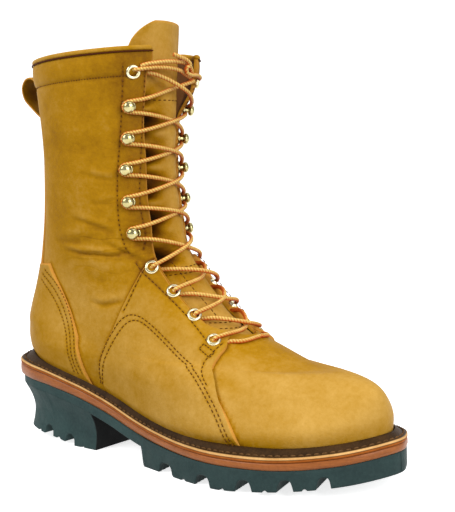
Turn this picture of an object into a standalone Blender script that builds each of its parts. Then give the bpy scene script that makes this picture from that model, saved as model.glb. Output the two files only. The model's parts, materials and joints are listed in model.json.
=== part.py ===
"""Right-foot lineman boot: lugged rubber sole and heel, leather midsole and welt, tall laced leather upper.

X runs from heel to toe, -Y is the outer side of the foot, +Z is up. The sole stands on z = 0.
Lengths are in metres; the tables are written in millimetres and scaled by MM.
"""

import math

import bmesh
import bpy
import numpy as np

MM = 0.001

# Driving sizes
GAP = 0.3 * MM  # clearance between pieces that touch on the real boot
WAIST_RUBBER = 6.5 * MM  # bare sole rubber under the arch and over the heel block
LUG_DEPTH = 7 * MM
FLOOR_BELOW = -20 * MM  # cutters start here, well under the floor
WELT_THICK = 2.8 * MM
WELT_LIP = 4.2 * MM  # rise of the welt where it stands against the upper
INSOLE_THICK = 4 * MM
WALL = 2.4 * MM  # leather of the upper
OVERLAY = 1.6 * MM  # leather of the pieces sewn over the upper
OVERLAY_GAP = 0.95 * MM  # their clearance from the faceted upper
TONGUE_THICK = 2.2 * MM
HEEL_FRONT = 91 * MM  # breast of the heel, from the back of the sole
FOREFOOT_BACK = 144 * MM  # first lug in front of the arch
LACE_RADIUS = 1.4 * MM

# Facets of the main pieces
SOLE_STEPS = 40  # from heel to toe on each side
UPPER_STEPS = 40  # round the boot
WELT_STEPS = 48
WELT_TRACE = 200  # fine steps of the outline that the welt's edge is read from
INSOLE_STEPS = 52
ARCH_STEPS = 16

# Outline of the sole seen from above: distance from the back, and reach to the outer and the inner side
SOLE_PLAN = MM * np.array(
    [
        # along, outer, inner
        (3, 15.5, 15.5),
        (10.5, 27.5, 27),
        (28, 36.5, 35.5),
        (50, 39, 37),
        (78, 38.5, 35),
        (105, 39, 31.5),
        (130, 42, 31),
        (160, 48, 37),
        (190, 54, 47),
        (212, 56, 53),
        (235, 53.5, 56.5),
        (260, 46, 54.5),
        (280, 35, 46),
        (295, 23.5, 31),
        (303, 13.5, 18),
    ]
)
HEEL_TIP = MM * np.array((0.5, 0))
TOE_TIP = MM * np.array((308.5, 2))

# Side view of the sole: top of the rubber, floor line with its toe spring, and leather of the midsole
SEAT_LINE = MM * np.array(
    [
        # along, height
        (0, 45.5),
        (22, 44.3),
        (45, 42),
        (75, 36.3),
        (105, 28.5),
        (135, 20.5),
        (165, 16.5),
        (195, 15),
        (225, 15),
        (255, 16),
        (285, 19.5),
        (312, 25.5),
    ]
)
TREAD_LINE = MM * np.array([(0, 0), (190, 0), (213, 0), (236, 1.7), (260, 4), (285, 7.3), (312, 13)])
MIDSOLE_LINE = MM * np.array([(0, 7.8), (30, 7.2), (70, 5.8), (120, 5), (160, 4.4), (312, 4.4)])
HEEL_OVERHANG = MM * np.array([(-6, 3), (15, 2), (40, 0.8), (312, 0.4)])  # midsole and welt past the rubber

# Sections of the upper from the sole to the collar. Each is a closed loop between a point on the back line
# and one on the front line, with the reach of the outer and inner side at four stations on the way.
UPPER_COLUMNS = (
    "level back_x back_z front_x front_y front_z follow "
    "outer_heel outer_waist outer_ball outer_toe inner_heel inner_waist inner_ball inner_toe"
).split()
UPPER_ROWS = np.array(
    [
        (0.000, 2.5, 51, 298.5, 3, 27, 1.0, 31, 32, 46.5, 31, 29.5, 24.5, 43.2, 40.5),
        (0.040, 0.5, 63, 299.5, 3, 44, 1.0, 33.8, 34.8, 49.6, 33.5, 32.3, 27.5, 46, 42.5),
        (0.080, 0, 71, 295, 3, 57.5, 0.7, 35.8, 38, 46, 24, 34.2, 31, 42.5, 31),
        (0.150, 1, 79, 270, 4, 67, 0.4, 35.4, 38, 39, 19, 34, 32, 34.5, 22),
        (0.190, 2, 83, 251, 4, 67.3, 0.3, 34.8, 37.6, 37.4, 21.5, 33.5, 32.6, 33.5, 24),
        (0.235, 3, 87, 227, 4, 74, 0.2, 34, 37.2, 36, 24, 33, 33, 32.5, 26),
        (0.315, 7, 97, 196, 2.2, 88.5, 0, 32, 36.2, 34.2, 24.5, 31.2, 33.6, 32.2, 21.5),
        (0.405, 13.5, 110, 170, 1.2, 111, 0, 30, 36, 33, 22.5, 29.5, 34.6, 31.5, 18),
        (0.495, 22, 128, 150, 0.2, 135, 0, 29.5, 38, 34, 21.5, 29, 37, 33, 17.5),
        (0.590, 29.5, 152, 141, 0, 162, 0, 30.5, 41, 37, 23, 30.5, 41, 36, 19.5),
        (0.765, 33.5, 202, 138.5, 0, 207, 0, 32, 45, 40.5, 25, 32, 45, 38.2, 18.5),
        (1.000, 28, 260.5, 144, 0, 266, 0, 34, 49, 45, 28, 34, 49, 44.5, 27),
    ]
)
SIDE_ORDER = {"outer": ("toe", "ball", "waist", "heel"), "inner": ("heel", "waist", "ball", "toe")}
SIDE_SIGN = {"outer": -1, "inner": 1}
STATIONS = {"heel": 0.13, "waist": 0.38, "ball": 0.68, "toe": 0.90}  # share of the way from back to front
LOOP_KNOTS = np.array([0, 0.0825, 0.1775, 0.2975, 0.405, 0.5, 0.595, 0.7025, 0.8225, 0.9175])

# Throat: the slit in front that the tongue fills
THROAT_LEVEL = 0.297
THROAT_ROUND = 16 * MM  # length over which the slit opens from its rounded end
THROAT_HALF_LOW = 15 * MM
THROAT_HALF_HIGH = 20 * MM
LAP_LOW, LAP_MIDDLE, LAP_TOP = 2 * MM, 1.6 * MM, 2.5 * MM  # further reach of the outer facing over the tongue
LAP_LEVEL, LAP_SPREAD = 0.73, 0.1
LAP_START, LAP_CORNER = (0.48, 0.58), (0.95, 1.0)  # levels between which the lap and its upper corner begin
COLLAR_LEVEL = 1.0
VAMP_LEVELS = (0, 0.02, 0.04, 0.065, 0.1, 0.15, 0.19, 0.225, 0.26)  # rows of its mesh below the throat
SHAFT_LEVELS = (0.303, 0.315, 0.333, 0.365, 0.4, 0.43, 0.46, 0.49, 0.53, 0.58, 0.66, 0.715, 0.77, 0.83, 0.885)
WELT_LEVEL = 0.036  # level of the upper at the top of the welt
OVERLAY_FOOT = 0.042  # level where the overlays end above the welt


def slopes(knots, values):
    """Tangent at each knot of a curve through the values: slope of the parabola through three neighbours."""
    step = np.diff(knots)
    rise = np.diff(values, axis=0) / step[:, None]
    inner = (rise[:-1] * step[1:, None] + rise[1:] * step[:-1, None]) / (step[:-1] + step[1:])[:, None]
    return np.concatenate([[rise[0]], inner, [rise[-1]]])


def through(knots, values, at):
    """Smooth curve through values at the knots, read at the given places; straight on past the last knot."""
    knots = np.asarray(knots, float)
    values = np.asarray(values, float)
    flat = values.ndim == 1
    table = values[:, None] if flat else values.reshape(len(values), -1)
    tangent = slopes(knots, table)
    at = np.asarray(at, float)
    place = np.clip(np.searchsorted(knots, at, side="right") - 1, 0, len(knots) - 2)
    step = (knots[place + 1] - knots[place])[..., None]
    t = np.clip((at - knots[place])[..., None] / step, 0, 1)
    over = (at - np.clip(at, knots[0], knots[-1]))[..., None]
    end_slope = np.where(over > 0, tangent[-1], tangent[0])
    made = (
        (2 * t**3 - 3 * t**2 + 1) * table[place]
        + (t**3 - 2 * t**2 + t) * step * tangent[place]
        + (3 * t**2 - 2 * t**3) * table[place + 1]
        + (t**3 - t**2) * step * tangent[place + 1]
        + over * end_slope
    )
    return made[..., 0] if flat else made.reshape(at.shape + values.shape[1:])


def seat(x):
    return through(SEAT_LINE[:, 0], SEAT_LINE[:, 1], x)


def tread(x):
    """Floor line of the sole, level up to the ball."""
    return np.maximum(through(TREAD_LINE[:, 0], TREAD_LINE[:, 1], x), 0)


def midsole_thick(x):
    return through(MIDSOLE_LINE[:, 0], MIDSOLE_LINE[:, 1], np.clip(x, 0, None))


def bed(x):
    """Height on which the upper, welt and insole stand: the midsole's top and its clearances."""
    return seat(x) + midsole_thick(x) + 2 * GAP


def closed_through(points):
    """Knots and function of a closed smooth curve through the points, run by chord length."""
    lap = np.concatenate([points, points, points])
    chord = np.concatenate([[0], np.cumsum(np.linalg.norm(np.diff(lap, axis=0), axis=1))])
    size = len(points)
    return chord[size : 2 * size + 1], lambda at: through(chord, lap, at)


def outward(curve, at):
    """Unit vector out of a closed plan curve that runs round with its inside on the left."""
    small = 1e-4
    along = curve(at + small) - curve(at - small)
    along /= np.linalg.norm(along, axis=1)[:, None]
    return np.stack([along[:, 1], -along[:, 0]], axis=1)


def sole_loop(half_count, overhang=None):
    """Outline of the sole moved out by overhang(x), half_count steps up the outer side and as many back."""
    outer = SOLE_PLAN[:, :2] * (1, -1)
    inner = SOLE_PLAN[:, ::2]
    points = np.concatenate([[HEEL_TIP], outer, [TOE_TIP], inner[::-1]])
    knots, curve = closed_through(points)
    toe = knots[len(outer) + 1]
    even = np.linspace(0, 1, half_count + 1)
    share = 0.5 * even + 0.25 * (1 - np.cos(np.pi * even))
    up = knots[0] + (toe - knots[0]) * share
    down = toe + (knots[-1] - toe) * share
    at = np.concatenate([up[:-1], down[:-1]])
    loop = curve(at)
    if overhang is not None:
        loop = loop + overhang(loop[:, 0])[:, None] * outward(curve, at)
    return loop


def heel_overhang(x):
    return through(HEEL_OVERHANG[:, 0], HEEL_OVERHANG[:, 1], x)


LEVELS = UPPER_ROWS[:, UPPER_COLUMNS.index("level")]
FOLLOW = UPPER_ROWS[:, UPPER_COLUMNS.index("follow")]


def section_points():
    """Ten control points for each section of the upper, their heights over the bed share that it follows."""
    column = {name: UPPER_ROWS[:, i] * MM for i, name in enumerate(UPPER_COLUMNS)}
    back = np.stack([column["back_x"], 0 * column["back_x"], column["back_z"]], axis=1)
    front = np.stack([column["front_x"], column["front_y"], column["front_z"]], axis=1)
    for end in (back, front):
        end[0, 2] = bed(end[0, 0])
    made = [front]
    for side, order in SIDE_ORDER.items():
        if side == "inner":
            made.append(back)
        for name in order:
            share = STATIONS[name]
            point = back + share * (front - back)
            chord = bed(back[:, 0]) + share * (bed(front[:, 0]) - bed(back[:, 0]))
            point[:, 2] += FOLLOW * (bed(point[:, 0]) - chord)
            point[:, 1] = SIDE_SIGN[side] * column[f"{side}_{name}"]
            made.append(point)
    made = np.stack(made, axis=1)
    made[..., 2] -= FOLLOW[:, None] * bed(made[..., 0])
    return made


SECTIONS = section_points()


def upper_point(u, v):
    """Point of the upper's outer face: u runs round from the front over the outer side, v up the boot."""
    u, v = np.broadcast_arrays(np.asarray(u, float), np.asarray(v, float))
    loops = through(LEVELS, SECTIONS, v)
    knots = np.concatenate([LOOP_KNOTS - 1, LOOP_KNOTS, LOOP_KNOTS + 1])
    lap = np.concatenate([loops, loops, loops], axis=-2)
    at = np.mod(u, 1.0)
    place = np.searchsorted(knots, at, side="right") - 1

    def pick(shift):
        return np.take_along_axis(lap, (place + shift)[..., None, None], axis=-2)[..., 0, :]

    before, start, end, after = (pick(shift) for shift in (-1, 0, 1, 2))
    k0, k1, k2, k3 = (knots[place + shift] for shift in (-1, 0, 1, 2))

    def tangent(p, q, r, a, b, c):
        first = (q - p) / (b - a)[..., None]
        second = (r - q) / (c - b)[..., None]
        return (first * (c - b)[..., None] + second * (b - a)[..., None]) / (c - a)[..., None]

    step = (k2 - k1)[..., None]
    t = (at - k1)[..., None] / step
    made = (
        (2 * t**3 - 3 * t**2 + 1) * start
        + (t**3 - 2 * t**2 + t) * step * tangent(before, start, end, k0, k1, k2)
        + (3 * t**2 - 2 * t**3) * end
        + (t**3 - t**2) * step * tangent(start, end, after, k1, k2, k3)
    )
    made[..., 2] += through(LEVELS, FOLLOW, np.minimum(v, COLLAR_LEVEL)) * bed(made[..., 0])
    return made


def upper_normal(u, v):
    small = 1e-3
    across = upper_point(u + small, v) - upper_point(u - small, v)
    up = upper_point(u, v + small) - upper_point(u, v - small)
    normal = np.cross(up, across)
    return normal / np.linalg.norm(normal, axis=-1)[..., None]


def upper_offset(u, v, out):
    """Point at a distance out from the upper's outer face; negative lies inside the boot."""
    return upper_point(u, v) + np.asarray(out)[..., None] * upper_normal(u, v)


def loop_speed(u, v):
    """Metres of leather for a unit of u."""
    small = 1e-3
    return np.linalg.norm(upper_point(u + small, v) - upper_point(u - small, v), axis=-1) / (2 * small)


def throat_half(v):
    """Half width of the throat slit in u, nothing below its rounded end."""
    v = np.asarray(v, float)
    ridge = upper_point(0.0, np.maximum(v, THROAT_LEVEL)) - upper_point(0.0, np.full_like(v, THROAT_LEVEL))
    rise = np.linalg.norm(ridge, axis=-1)
    open_share = np.sqrt(1 - (1 - np.clip(rise / THROAT_ROUND, 0, 1)) ** 2)
    taper = np.clip((v - THROAT_LEVEL) / (COLLAR_LEVEL - THROAT_LEVEL), 0, 1)
    width = THROAT_HALF_LOW + (THROAT_HALF_HIGH - THROAT_HALF_LOW) * np.sqrt(taper)
    return open_share * width / loop_speed(0.0 * v, v)


def throat_edges(v):
    """Shares of the outer and the inner throat edge; the outer facing laps further over the tongue up the shaft."""
    half = throat_half(v)
    lap = LAP_LOW + LAP_MIDDLE * np.exp(-(((v - LAP_LEVEL) / LAP_SPREAD) ** 2)) + LAP_TOP * eased(*LAP_CORNER, v)
    return half - lap * eased(*LAP_START, v) / loop_speed(0.0 * v, v), half


def eased(low, high, x):
    """0 below low, 1 above high, and an S-shaped rise between them."""
    share = np.clip((x - low) / (high - low), 0, 1)
    return share * share * (3 - 2 * share)


def locate(x, z, inner=False):
    """The u and v where a point of the side view lies on the outer or the inner side, by Newton steps."""
    x, z = np.atleast_1d(np.asarray(x, float)), np.atleast_1d(np.asarray(z, float))
    grid_u, grid_v = np.meshgrid(np.linspace(0.02, 0.48, 47), np.linspace(0, 1, 61))
    if inner:
        grid_u = 1 - grid_u
    sample = upper_point(grid_u, grid_v)
    far = (sample[..., 0, None] - x) ** 2 + (sample[..., 2, None] - z) ** 2
    nearest = far.reshape(-1, len(x)).argmin(axis=0)
    u, v = grid_u.ravel()[nearest], grid_v.ravel()[nearest]
    small = 1e-4
    for _ in range(8):
        here = upper_point(u, v)
        du = (upper_point(u + small, v) - here)[:, ::2] / small
        dv = (upper_point(u, v + small) - here)[:, ::2] / small
        miss = np.stack([x - here[:, 0], z - here[:, 2]], axis=1)
        det = du[:, 0] * dv[:, 1] - du[:, 1] * dv[:, 0]
        u = u + np.clip((miss[:, 0] * dv[:, 1] - miss[:, 1] * dv[:, 0]) / det, -0.02, 0.02)
        v = v + np.clip((du[:, 0] * miss[:, 1] - du[:, 1] * miss[:, 0]) / det, -0.02, 0.02)
    return u, v


# Boundary lines of the overlays in side view, from the sole or throat outwards (along, height)
BACK_U = 0.5  # the back line of the upper
COUNTER_EDGE = MM * np.array([(90, 49), (85, 56), (82, 70), (77, 86.5), (70, 100), (62, 113.5), (54, 128)])
SADDLE_BACK = MM * np.array(
    [(103, 46), (101, 57), (106, 71), (115, 87.5), (123, 105), (130, 118.5), (136, 130)]
)
SADDLE_FRONT = MM * np.array([(230, 33), (221.5, 42.5), (209.5, 54), (198.5, 63.5), (195.5, 74.5)])
SADDLE_TOP_LEVEL = 0.489
SADDLE_TIP_LEVEL = 0.283
SADDLE_TIP_U = 0.056  # reach of its lower front corner from the middle
SADDLE_TIP_END = 0.36  # level where its edge has come to the throat
SADDLE_LIP = 0.004  # from there it stops this far in u behind the throat's edge
SADDLE_ROWS = 11
SADDLE_COLUMNS = 9
SADDLE_CROWDING = 1.3  # draws the rows towards the throat, where it bends most
COUNTER_ROWS = 7
COUNTER_COLUMNS = 19
STRIP_ROWS = 7
STRIP_COLUMNS = 9
STRIP_HALF_LOW = 32 * MM
STRIP_HALF_HIGH = 24 * MM
STRIP_TOP_LEVEL = 0.965
STRIP_SPACE = 0.006  # between the counter and the back strip, in levels

# Pull loop in side view at the back of the collar, as the middle line of its strap (along, height)
PULL_LOOP_LINE = MM * np.array(
    [(26, 231), (26, 239), (24, 247), (19, 255), (13, 260), (7, 259.5), (3, 254), (4.5, 246.5), (12, 239)]
)
PULL_LOOP_THICK = 1.8 * MM
PULL_LOOP_WIDTH = 24 * MM
PULL_LOOP_STEPS = 24

# Collar binding: the rolled strip on the upper's rim
BINDING_TALL = 6.5 * MM
BINDING_GAP = 0.9 * MM  # clears the slope of the rim
BINDING_THICK = 4.4 * MM
BINDING_STEPS = 29
BINDING_SIDES = 6

# Tongue: level of its hidden foot and of its top, its reach to each side, and how far its top leans in
TONGUE_FOOT_LEVEL = 0.262
TONGUE_TOP_LEVEL = 1.0935
TONGUE_ROUND_LEVEL = 0.99  # the rounding of its top starts here
TONGUE_HALF = 33 * MM
TONGUE_CLEAR = 0.8 * MM
TONGUE_LEAN = 6 * MM
TONGUE_LEAN_LEVEL = 0.8  # it leans in from here
TONGUE_STEPS = 9
TONGUE_LOW = (TONGUE_FOOT_LEVEL, 0.6, 11)  # its rows: first and last level, and count
TONGUE_HIGH = (0.69, TONGUE_ROUND_LEVEL, 4)
TONGUE_CROWN = (0.5, 0.8, 1.0)  # shares of its rounded top
TONGUE_NARROWING = 0.9  # share of its outer half that the rounding takes at the top
TONGUE_CORNER = 0.12  # the same on the inner half, which keeps its corner

# Eyelets and hooks on the outer side in side view (along, height); the inner side matches
EYELET_LINE = MM * np.array([(189.8, 82.5), (171.7, 97), (155.2, 111.8), (139, 127.3)])
HOOK_LINE = MM * np.array([(126.6, 150), (123.7, 170.8), (123.4, 192.4), (125.4, 212.7), (127.6, 233.5)])
INNER_BACK = 3.5 * MM  # the inner hooks and lower eyelets stand this much further from the throat
TOP_EYELET = MM * np.array([(131.6, 255.7)])
EYELET_OUTER = 4.7 * MM
EYELET_INNER = 2.5 * MM
EYELET_TALL = 1.4 * MM
EYELET_ROUND = 0.7 * MM  # its outer edge is drawn in by this at the top
HOOK_PROFILE = MM * np.array(
    # radius, height over the leather
    [(4.8, 0), (4.8, 0.9), (1.9, 1.4), (1.9, 4.4), (3.8, 5.0), (2.4, 7.2)]
)
EYELET_SIDES = 8
HOOK_SIDES = 6
LACE_SIDES = 4
LACE_BAR_STEPS = 4
LACE_CLEAR = 1.1 * MM
LACE_STOP = 9 * MM  # a crossing ends this far from the middle of its eyelet or hook

# Knot of the lace over the top of the tongue, and its ends as u, level and height over the leather in mm
KNOT_U = -0.020
KNOT_LEVEL = 0.972
KNOT_SIZE = 2.5 * MM
KNOT_OUT = 9 * MM
KNOT_DEEP = 0.95
KNOT_STEPS = 16
LACE_END_STEPS = 5
LACE_ENDS = {
    "lace_tail_outer": ((0.060, 0.988, 3.2), (0.034, 0.988, 4.5), (0.008, 0.980, 7)),
    "lace_tail_inner": ((-0.0685, 0.984, 3.6), (-0.059, 0.984, 4.6), (-0.050, 0.981, 6.2)),
    "lace_end_outer": ((0.009, 0.997, 9), (0.024, 1.006, 8), (0.038, 1.012, 6.5)),
    "lace_end_inner": ((-0.049, 0.997, 9.5), (-0.064, 1.000, 10.5), (-0.078, 0.995, 11)),
}

# Grooves that part the lugs: place on the edge and in the middle, width in mm, and side (-1 outer, 1 inner)
LUG_GROOVES = (
    # edge_x, middle_x, width, side
    (169, 160, 12, -1),
    (203, 194, 11, -1),
    (233, 222, 10, -1),
    (260, 246, 9, -1),
    (284, 267, 8, -1),
    (166, 157, 11, 1),
    (198, 189, 11, 1),
    (228, 217, 10, 1),
    (257, 244, 9, 1),
    (279, 264, 7, 1),
)
LUG_EDGE = 50  # reach to the side at which edge_x is given
GROOVE_REACH = 75  # the grooves run this far out, past the side
GROOVE_MIDDLE = 3
CHANNEL = ((152, 262), 0, 15)  # run in x, middle in y, width
CHANNEL_SHARE = 0.7  # depth of the channels, of the lug depth
HEEL_GROOVES = ((42, 8, -1), (64, 8, -1), (42, 8, 1), (64, 8, 1))  # place, width, side
HEEL_GROOVE_SLANT = 3  # they lie this far forward at their inner end
HEEL_GROOVE_MIDDLE = 2
HEEL_CHANNEL = ((28, 80), 0, 12)
HEEL_SIDE_SHARE = 0.7  # the sides are drawn in less than the back by this share
HEEL_CORNER = 2 * MM  # last step of the outline before the breast
HEEL_RINGS = (
    # share of the height from the top, how far the side is drawn in
    (0.0, 0),
    (0.25, 4.5),
    (0.5, 7),
    (0.8, 6.5),
    (1.0, 5),
)
HEEL_ROCKER = ((0, 8), (25, 6), (55, 3), (68, 0), (120, 0))  # rise of the heel's floor line towards its back


def clear_scene():
    for obj in list(bpy.data.objects):
        bpy.data.objects.remove(obj, do_unlink=True)


def make_look(name, colour, roughness, metallic=0.0):
    look = bpy.data.materials.new(name)
    look.use_nodes = True
    shader = look.node_tree.nodes["Principled BSDF"]
    shader.inputs["Base Color"].default_value = (*colour, 1)
    shader.inputs["Roughness"].default_value = roughness
    shader.inputs["Metallic"].default_value = metallic
    return look


def make_solid(name, points, faces, look):
    """Closed mesh object; points that fall together are welded and the faces turned outwards."""
    mesh = bpy.data.meshes.new(name)
    mesh.from_pydata([tuple(point) for point in points], [], faces)
    work = bmesh.new()
    work.from_mesh(mesh)
    bmesh.ops.remove_doubles(work, verts=work.verts, dist=1e-6)
    bmesh.ops.recalc_face_normals(work, faces=work.faces)
    work.to_mesh(mesh)
    work.free()
    obj = bpy.data.objects.new(name, mesh)
    bpy.context.scene.collection.objects.link(obj)
    obj.data.materials.append(look)
    return obj


def make_helper(obj):
    obj.hide_render = True
    obj.display_type = "WIRE"
    return obj


def combine(obj, helper, operation):
    step = obj.modifiers.new(helper.name, "BOOLEAN")
    step.operation = operation
    step.solver = "EXACT"
    step.object = helper


def capped(name, loops, look):
    """Solid through a stack of loops whose points pair across the boot: loop index i faces index n - i."""
    count = len(loops[0])
    half = count // 2
    faces = []
    for start in (0, (len(loops) - 1) * count):
        for i in range(half):
            ring = list(dict.fromkeys([i, i + 1, (count - i - 1) % count, (count - i) % count]))
            faces.append([start + k for k in ring])
    for level in range(len(loops) - 1):
        low, high = level * count, (level + 1) * count
        faces += [(low + i, low + (i + 1) % count, high + (i + 1) % count, high + i) for i in range(count)]
    return make_solid(name, np.concatenate(loops), faces, look)


def ringed(name, rings, look):
    """Solid ring through closed loops that lie round its section."""
    count = len(rings[0])
    faces = []
    for r in range(len(rings)):
        here, there = r * count, (r + 1) % len(rings) * count
        for k in range(count):
            n = (k + 1) % count
            faces.append((here + k, here + n, there + n, there + k))
    return make_solid(name, np.concatenate(rings), faces, look)


def lifted(loop, height):
    """Plan loop raised to a height that depends on x."""
    return np.column_stack([loop, height(loop[:, 0])])


def block(name, corners, low, high, look):
    """Upright block over a polygon in plan."""
    count = len(corners)
    points = [(*corner, low) for corner in corners] + [(*corner, high) for corner in corners]
    faces = [list(range(count)), list(range(count, 2 * count))]
    faces += [(i, (i + 1) % count, count + (i + 1) % count, count + i) for i in range(count)]
    return make_solid(name, points, faces, look)


def slot(name, start, end, width, high, look):
    """Cutter for a straight groove between two plan points, from below the floor up to high."""
    start, end = MM * np.array(start, float), MM * np.array(end, float)
    along = (end - start) / np.linalg.norm(end - start)
    side = width * MM / 2 * np.array((-along[1], along[0]))
    corners = [start + side, end + side, end - side, start - side]
    return make_helper(block(name, corners, FLOOR_BELOW, high, look))


def shell(name, outer, inner, look):
    """Solid sheet between two grids of points, closed along its four edges."""
    rows, columns = outer.shape[:2]
    points = np.concatenate([outer.reshape(-1, 3), inner.reshape(-1, 3)])
    index = np.arange(2 * rows * columns).reshape(2, rows, columns)
    faces = []
    for layer in index:
        quads = np.stack([layer[:-1, :-1], layer[:-1, 1:], layer[1:, 1:], layer[1:, :-1]], axis=-1)
        faces += quads.reshape(-1, 4).tolist()
    lines = (index[:, 0, :-1], index[:, :-1, -1], index[:, -1, :0:-1], index[:, :0:-1, 0])
    border = np.concatenate(lines, axis=1)
    following = np.roll(border, -1, axis=1)
    faces += np.stack([border[0], following[0], following[1], border[1]], axis=-1).tolist()
    return make_solid(name, points, faces, look)


def tube(name, path, radius, sides, look):
    """Closed cord along a path, its section turned with the path."""
    path = np.asarray(path)
    along = np.gradient(path, axis=0)
    along /= np.linalg.norm(along, axis=1)[:, None]
    across = np.cross(along, (0.1, 0.2, 1))
    across /= np.linalg.norm(across, axis=1)[:, None]
    lift = np.cross(across, along)
    turn = 2 * np.pi * (np.arange(sides) + 0.5) / sides
    ring = np.cos(turn)[None, :, None] * across[:, None] + np.sin(turn)[None, :, None] * lift[:, None]
    points = (path[:, None] + radius * ring).reshape(-1, 3)
    faces = []
    for i in range(len(path) - 1):
        for k in range(sides):
            j = (k + 1) % sides
            faces.append((i * sides + k, i * sides + j, (i + 1) * sides + j, (i + 1) * sides + k))
    faces += [list(range(sides)), list(range(len(points) - sides, len(points)))]
    return make_solid(name, points, faces, look)


def cord(name, points, look, closed=False):
    """Round cord as a bevelled curve with filled ends, or closed on itself."""
    curve = bpy.data.curves.new(name, "CURVE")
    curve.dimensions = "3D"
    curve.bevel_depth = LACE_RADIUS
    curve.bevel_resolution = 2
    curve.use_fill_caps = True
    spline = curve.splines.new("POLY")
    spline.points.add(len(points) - 1)
    for point, place in zip(spline.points, points):
        point.co = (*place, 1)
    spline.use_cyclic_u = closed
    obj = bpy.data.objects.new(name, curve)
    bpy.context.scene.collection.objects.link(obj)
    curve.materials.append(look)
    return obj


def revolved(name, profile, centre, axis, sides, look, hollow=False):
    """Ring or stud turned round an axis; profile rows are radius and height."""
    axis = axis / np.linalg.norm(axis)
    across = np.cross(axis, (0, 0, 1))
    across /= np.linalg.norm(across)
    lift = np.cross(axis, across)
    turn = 2 * np.pi * np.arange(sides) / sides
    spoke = np.cos(turn)[:, None] * across + np.sin(turn)[:, None] * lift
    rings = centre + profile[:, 1, None, None] * axis + profile[:, 0, None, None] * spoke[None]
    count = len(profile)
    faces = []
    for i in range(count if hollow else count - 1):
        n = (i + 1) % count
        for k in range(sides):
            j = (k + 1) % sides
            faces.append((i * sides + k, i * sides + j, n * sides + j, n * sides + k))
    if not hollow:
        faces += [list(range(sides)), list(range((count - 1) * sides, count * sides))]
    return make_solid(name, rings.reshape(-1, 3), faces, look)


def build_sole(rubber, leather, lining):
    """Outsole with lugs, heel block, midsole, welt ring and insole."""
    loop = sole_loop(SOLE_STEPS)
    outsole = capped("outsole", [lifted(loop, seat), lifted(loop, tread)], rubber)
    combine(outsole, arch_cutter(rubber), "DIFFERENCE")
    for i, (edge_x, middle_x, width, side) in enumerate(LUG_GROOVES):
        high = float(tread(0.5 * (edge_x + middle_x) * MM)) + LUG_DEPTH
        slant = (edge_x - middle_x) / (LUG_EDGE - GROOVE_MIDDLE)
        far = (edge_x + slant * (GROOVE_REACH - LUG_EDGE), GROOVE_REACH * side)
        groove = slot(f"cut_lug_{i}", far, (middle_x, GROOVE_MIDDLE * side), width, high, rubber)
        combine(outsole, groove, "DIFFERENCE")
    (start, end), middle, width = CHANNEL
    depth = CHANNEL_SHARE * LUG_DEPTH
    channel = slot("cut_channel", (start, middle), (end, middle), width, depth, rubber)
    combine(outsole, channel, "DIFFERENCE")
    build_heel(rubber)
    edge = sole_loop(SOLE_STEPS, heel_overhang)
    top = lifted(edge, lambda x: bed(x) - GAP)
    capped("midsole", [top, lifted(edge, lambda x: seat(x) + GAP)], leather)
    build_welt(leather)
    turn = 0.5 + np.arange(INSOLE_STEPS) / INSOLE_STEPS
    inside = upper_offset(turn[::-1], 0 * turn, np.full(INSOLE_STEPS, -WALL - 2 * GAP))[:, :2]
    inside = np.roll(inside, 1, axis=0)
    capped("insole", [lifted(inside, lambda x: bed(x) + INSOLE_THICK), lifted(inside, bed)], lining)


def arch_cutter(look):
    """Cutter for the arch's space and the heel block's: all below the bare sole, up to the first lug."""
    along = np.linspace(FLOOR_BELOW, FOREFOOT_BACK, ARCH_STEPS)
    line = [(x, float(seat(max(x, 0.0))) - WAIST_RUBBER) for x in along]
    line += [(FOREFOOT_BACK, FLOOR_BELOW), (FLOOR_BELOW, FLOOR_BELOW)]
    count = len(line)
    points = [(x, side * GROOVE_REACH * MM, z) for side in (-1, 1) for x, z in line]
    faces = [list(range(count)), list(range(count, 2 * count))]
    faces += [(i, (i + 1) % count, count + (i + 1) % count, count + i) for i in range(count)]
    return make_helper(make_solid("cut_arch", points, faces, look))


def build_heel(rubber):
    """Heel block: the sole's outline up to the breast, drawn in below its top, with lug grooves."""
    loop = sole_loop(SOLE_STEPS)
    near = HEEL_FRONT - HEEL_CORNER
    outer = [i for i in range(SOLE_STEPS) if max(loop[i, 0], loop[-i, 0]) < near]
    inner = [len(loop) - i for i in outer[:0:-1]]
    breast = [(HEEL_FRONT, loop[last, 1]) for last in (outer[-1], inner[0])]
    plan = np.array([*loop[outer], *breast, *loop[inner]])
    rocker = MM * np.array(HEEL_ROCKER)
    along, wide = plan[:, 0].max() - plan[:, 0].min(), np.abs(plan[:, 1]).max()
    loops = []
    for share, drawn in HEEL_RINGS:
        shrink = np.array((1 - drawn * MM / along, 1 - HEEL_SIDE_SHARE * drawn * MM / wide))
        ring = (plan - (HEEL_FRONT, 0)) * shrink + (HEEL_FRONT, 0)
        top = seat(np.clip(ring[:, 0], 0, None)) - WAIST_RUBBER - GAP
        foot = np.interp(ring[:, 0], rocker[:, 0], rocker[:, 1])
        loops.append(np.column_stack([ring, top + share * (foot - top)]))
    heel = capped("heel", loops, rubber)
    for i, (place, width, side) in enumerate(HEEL_GROOVES):
        far = (place, GROOVE_REACH * side)
        near_end = (place + HEEL_GROOVE_SLANT, HEEL_GROOVE_MIDDLE * side)
        groove = slot(f"cut_heel_{i}", far, near_end, width, LUG_DEPTH, rubber)
        combine(heel, groove, "DIFFERENCE")
    (start, end), middle, width = HEEL_CHANNEL
    depth = CHANNEL_SHARE * LUG_DEPTH
    channel = slot("cut_heel_channel", (start, middle), (end, middle), width, depth, rubber)
    combine(heel, channel, "DIFFERENCE")


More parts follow.
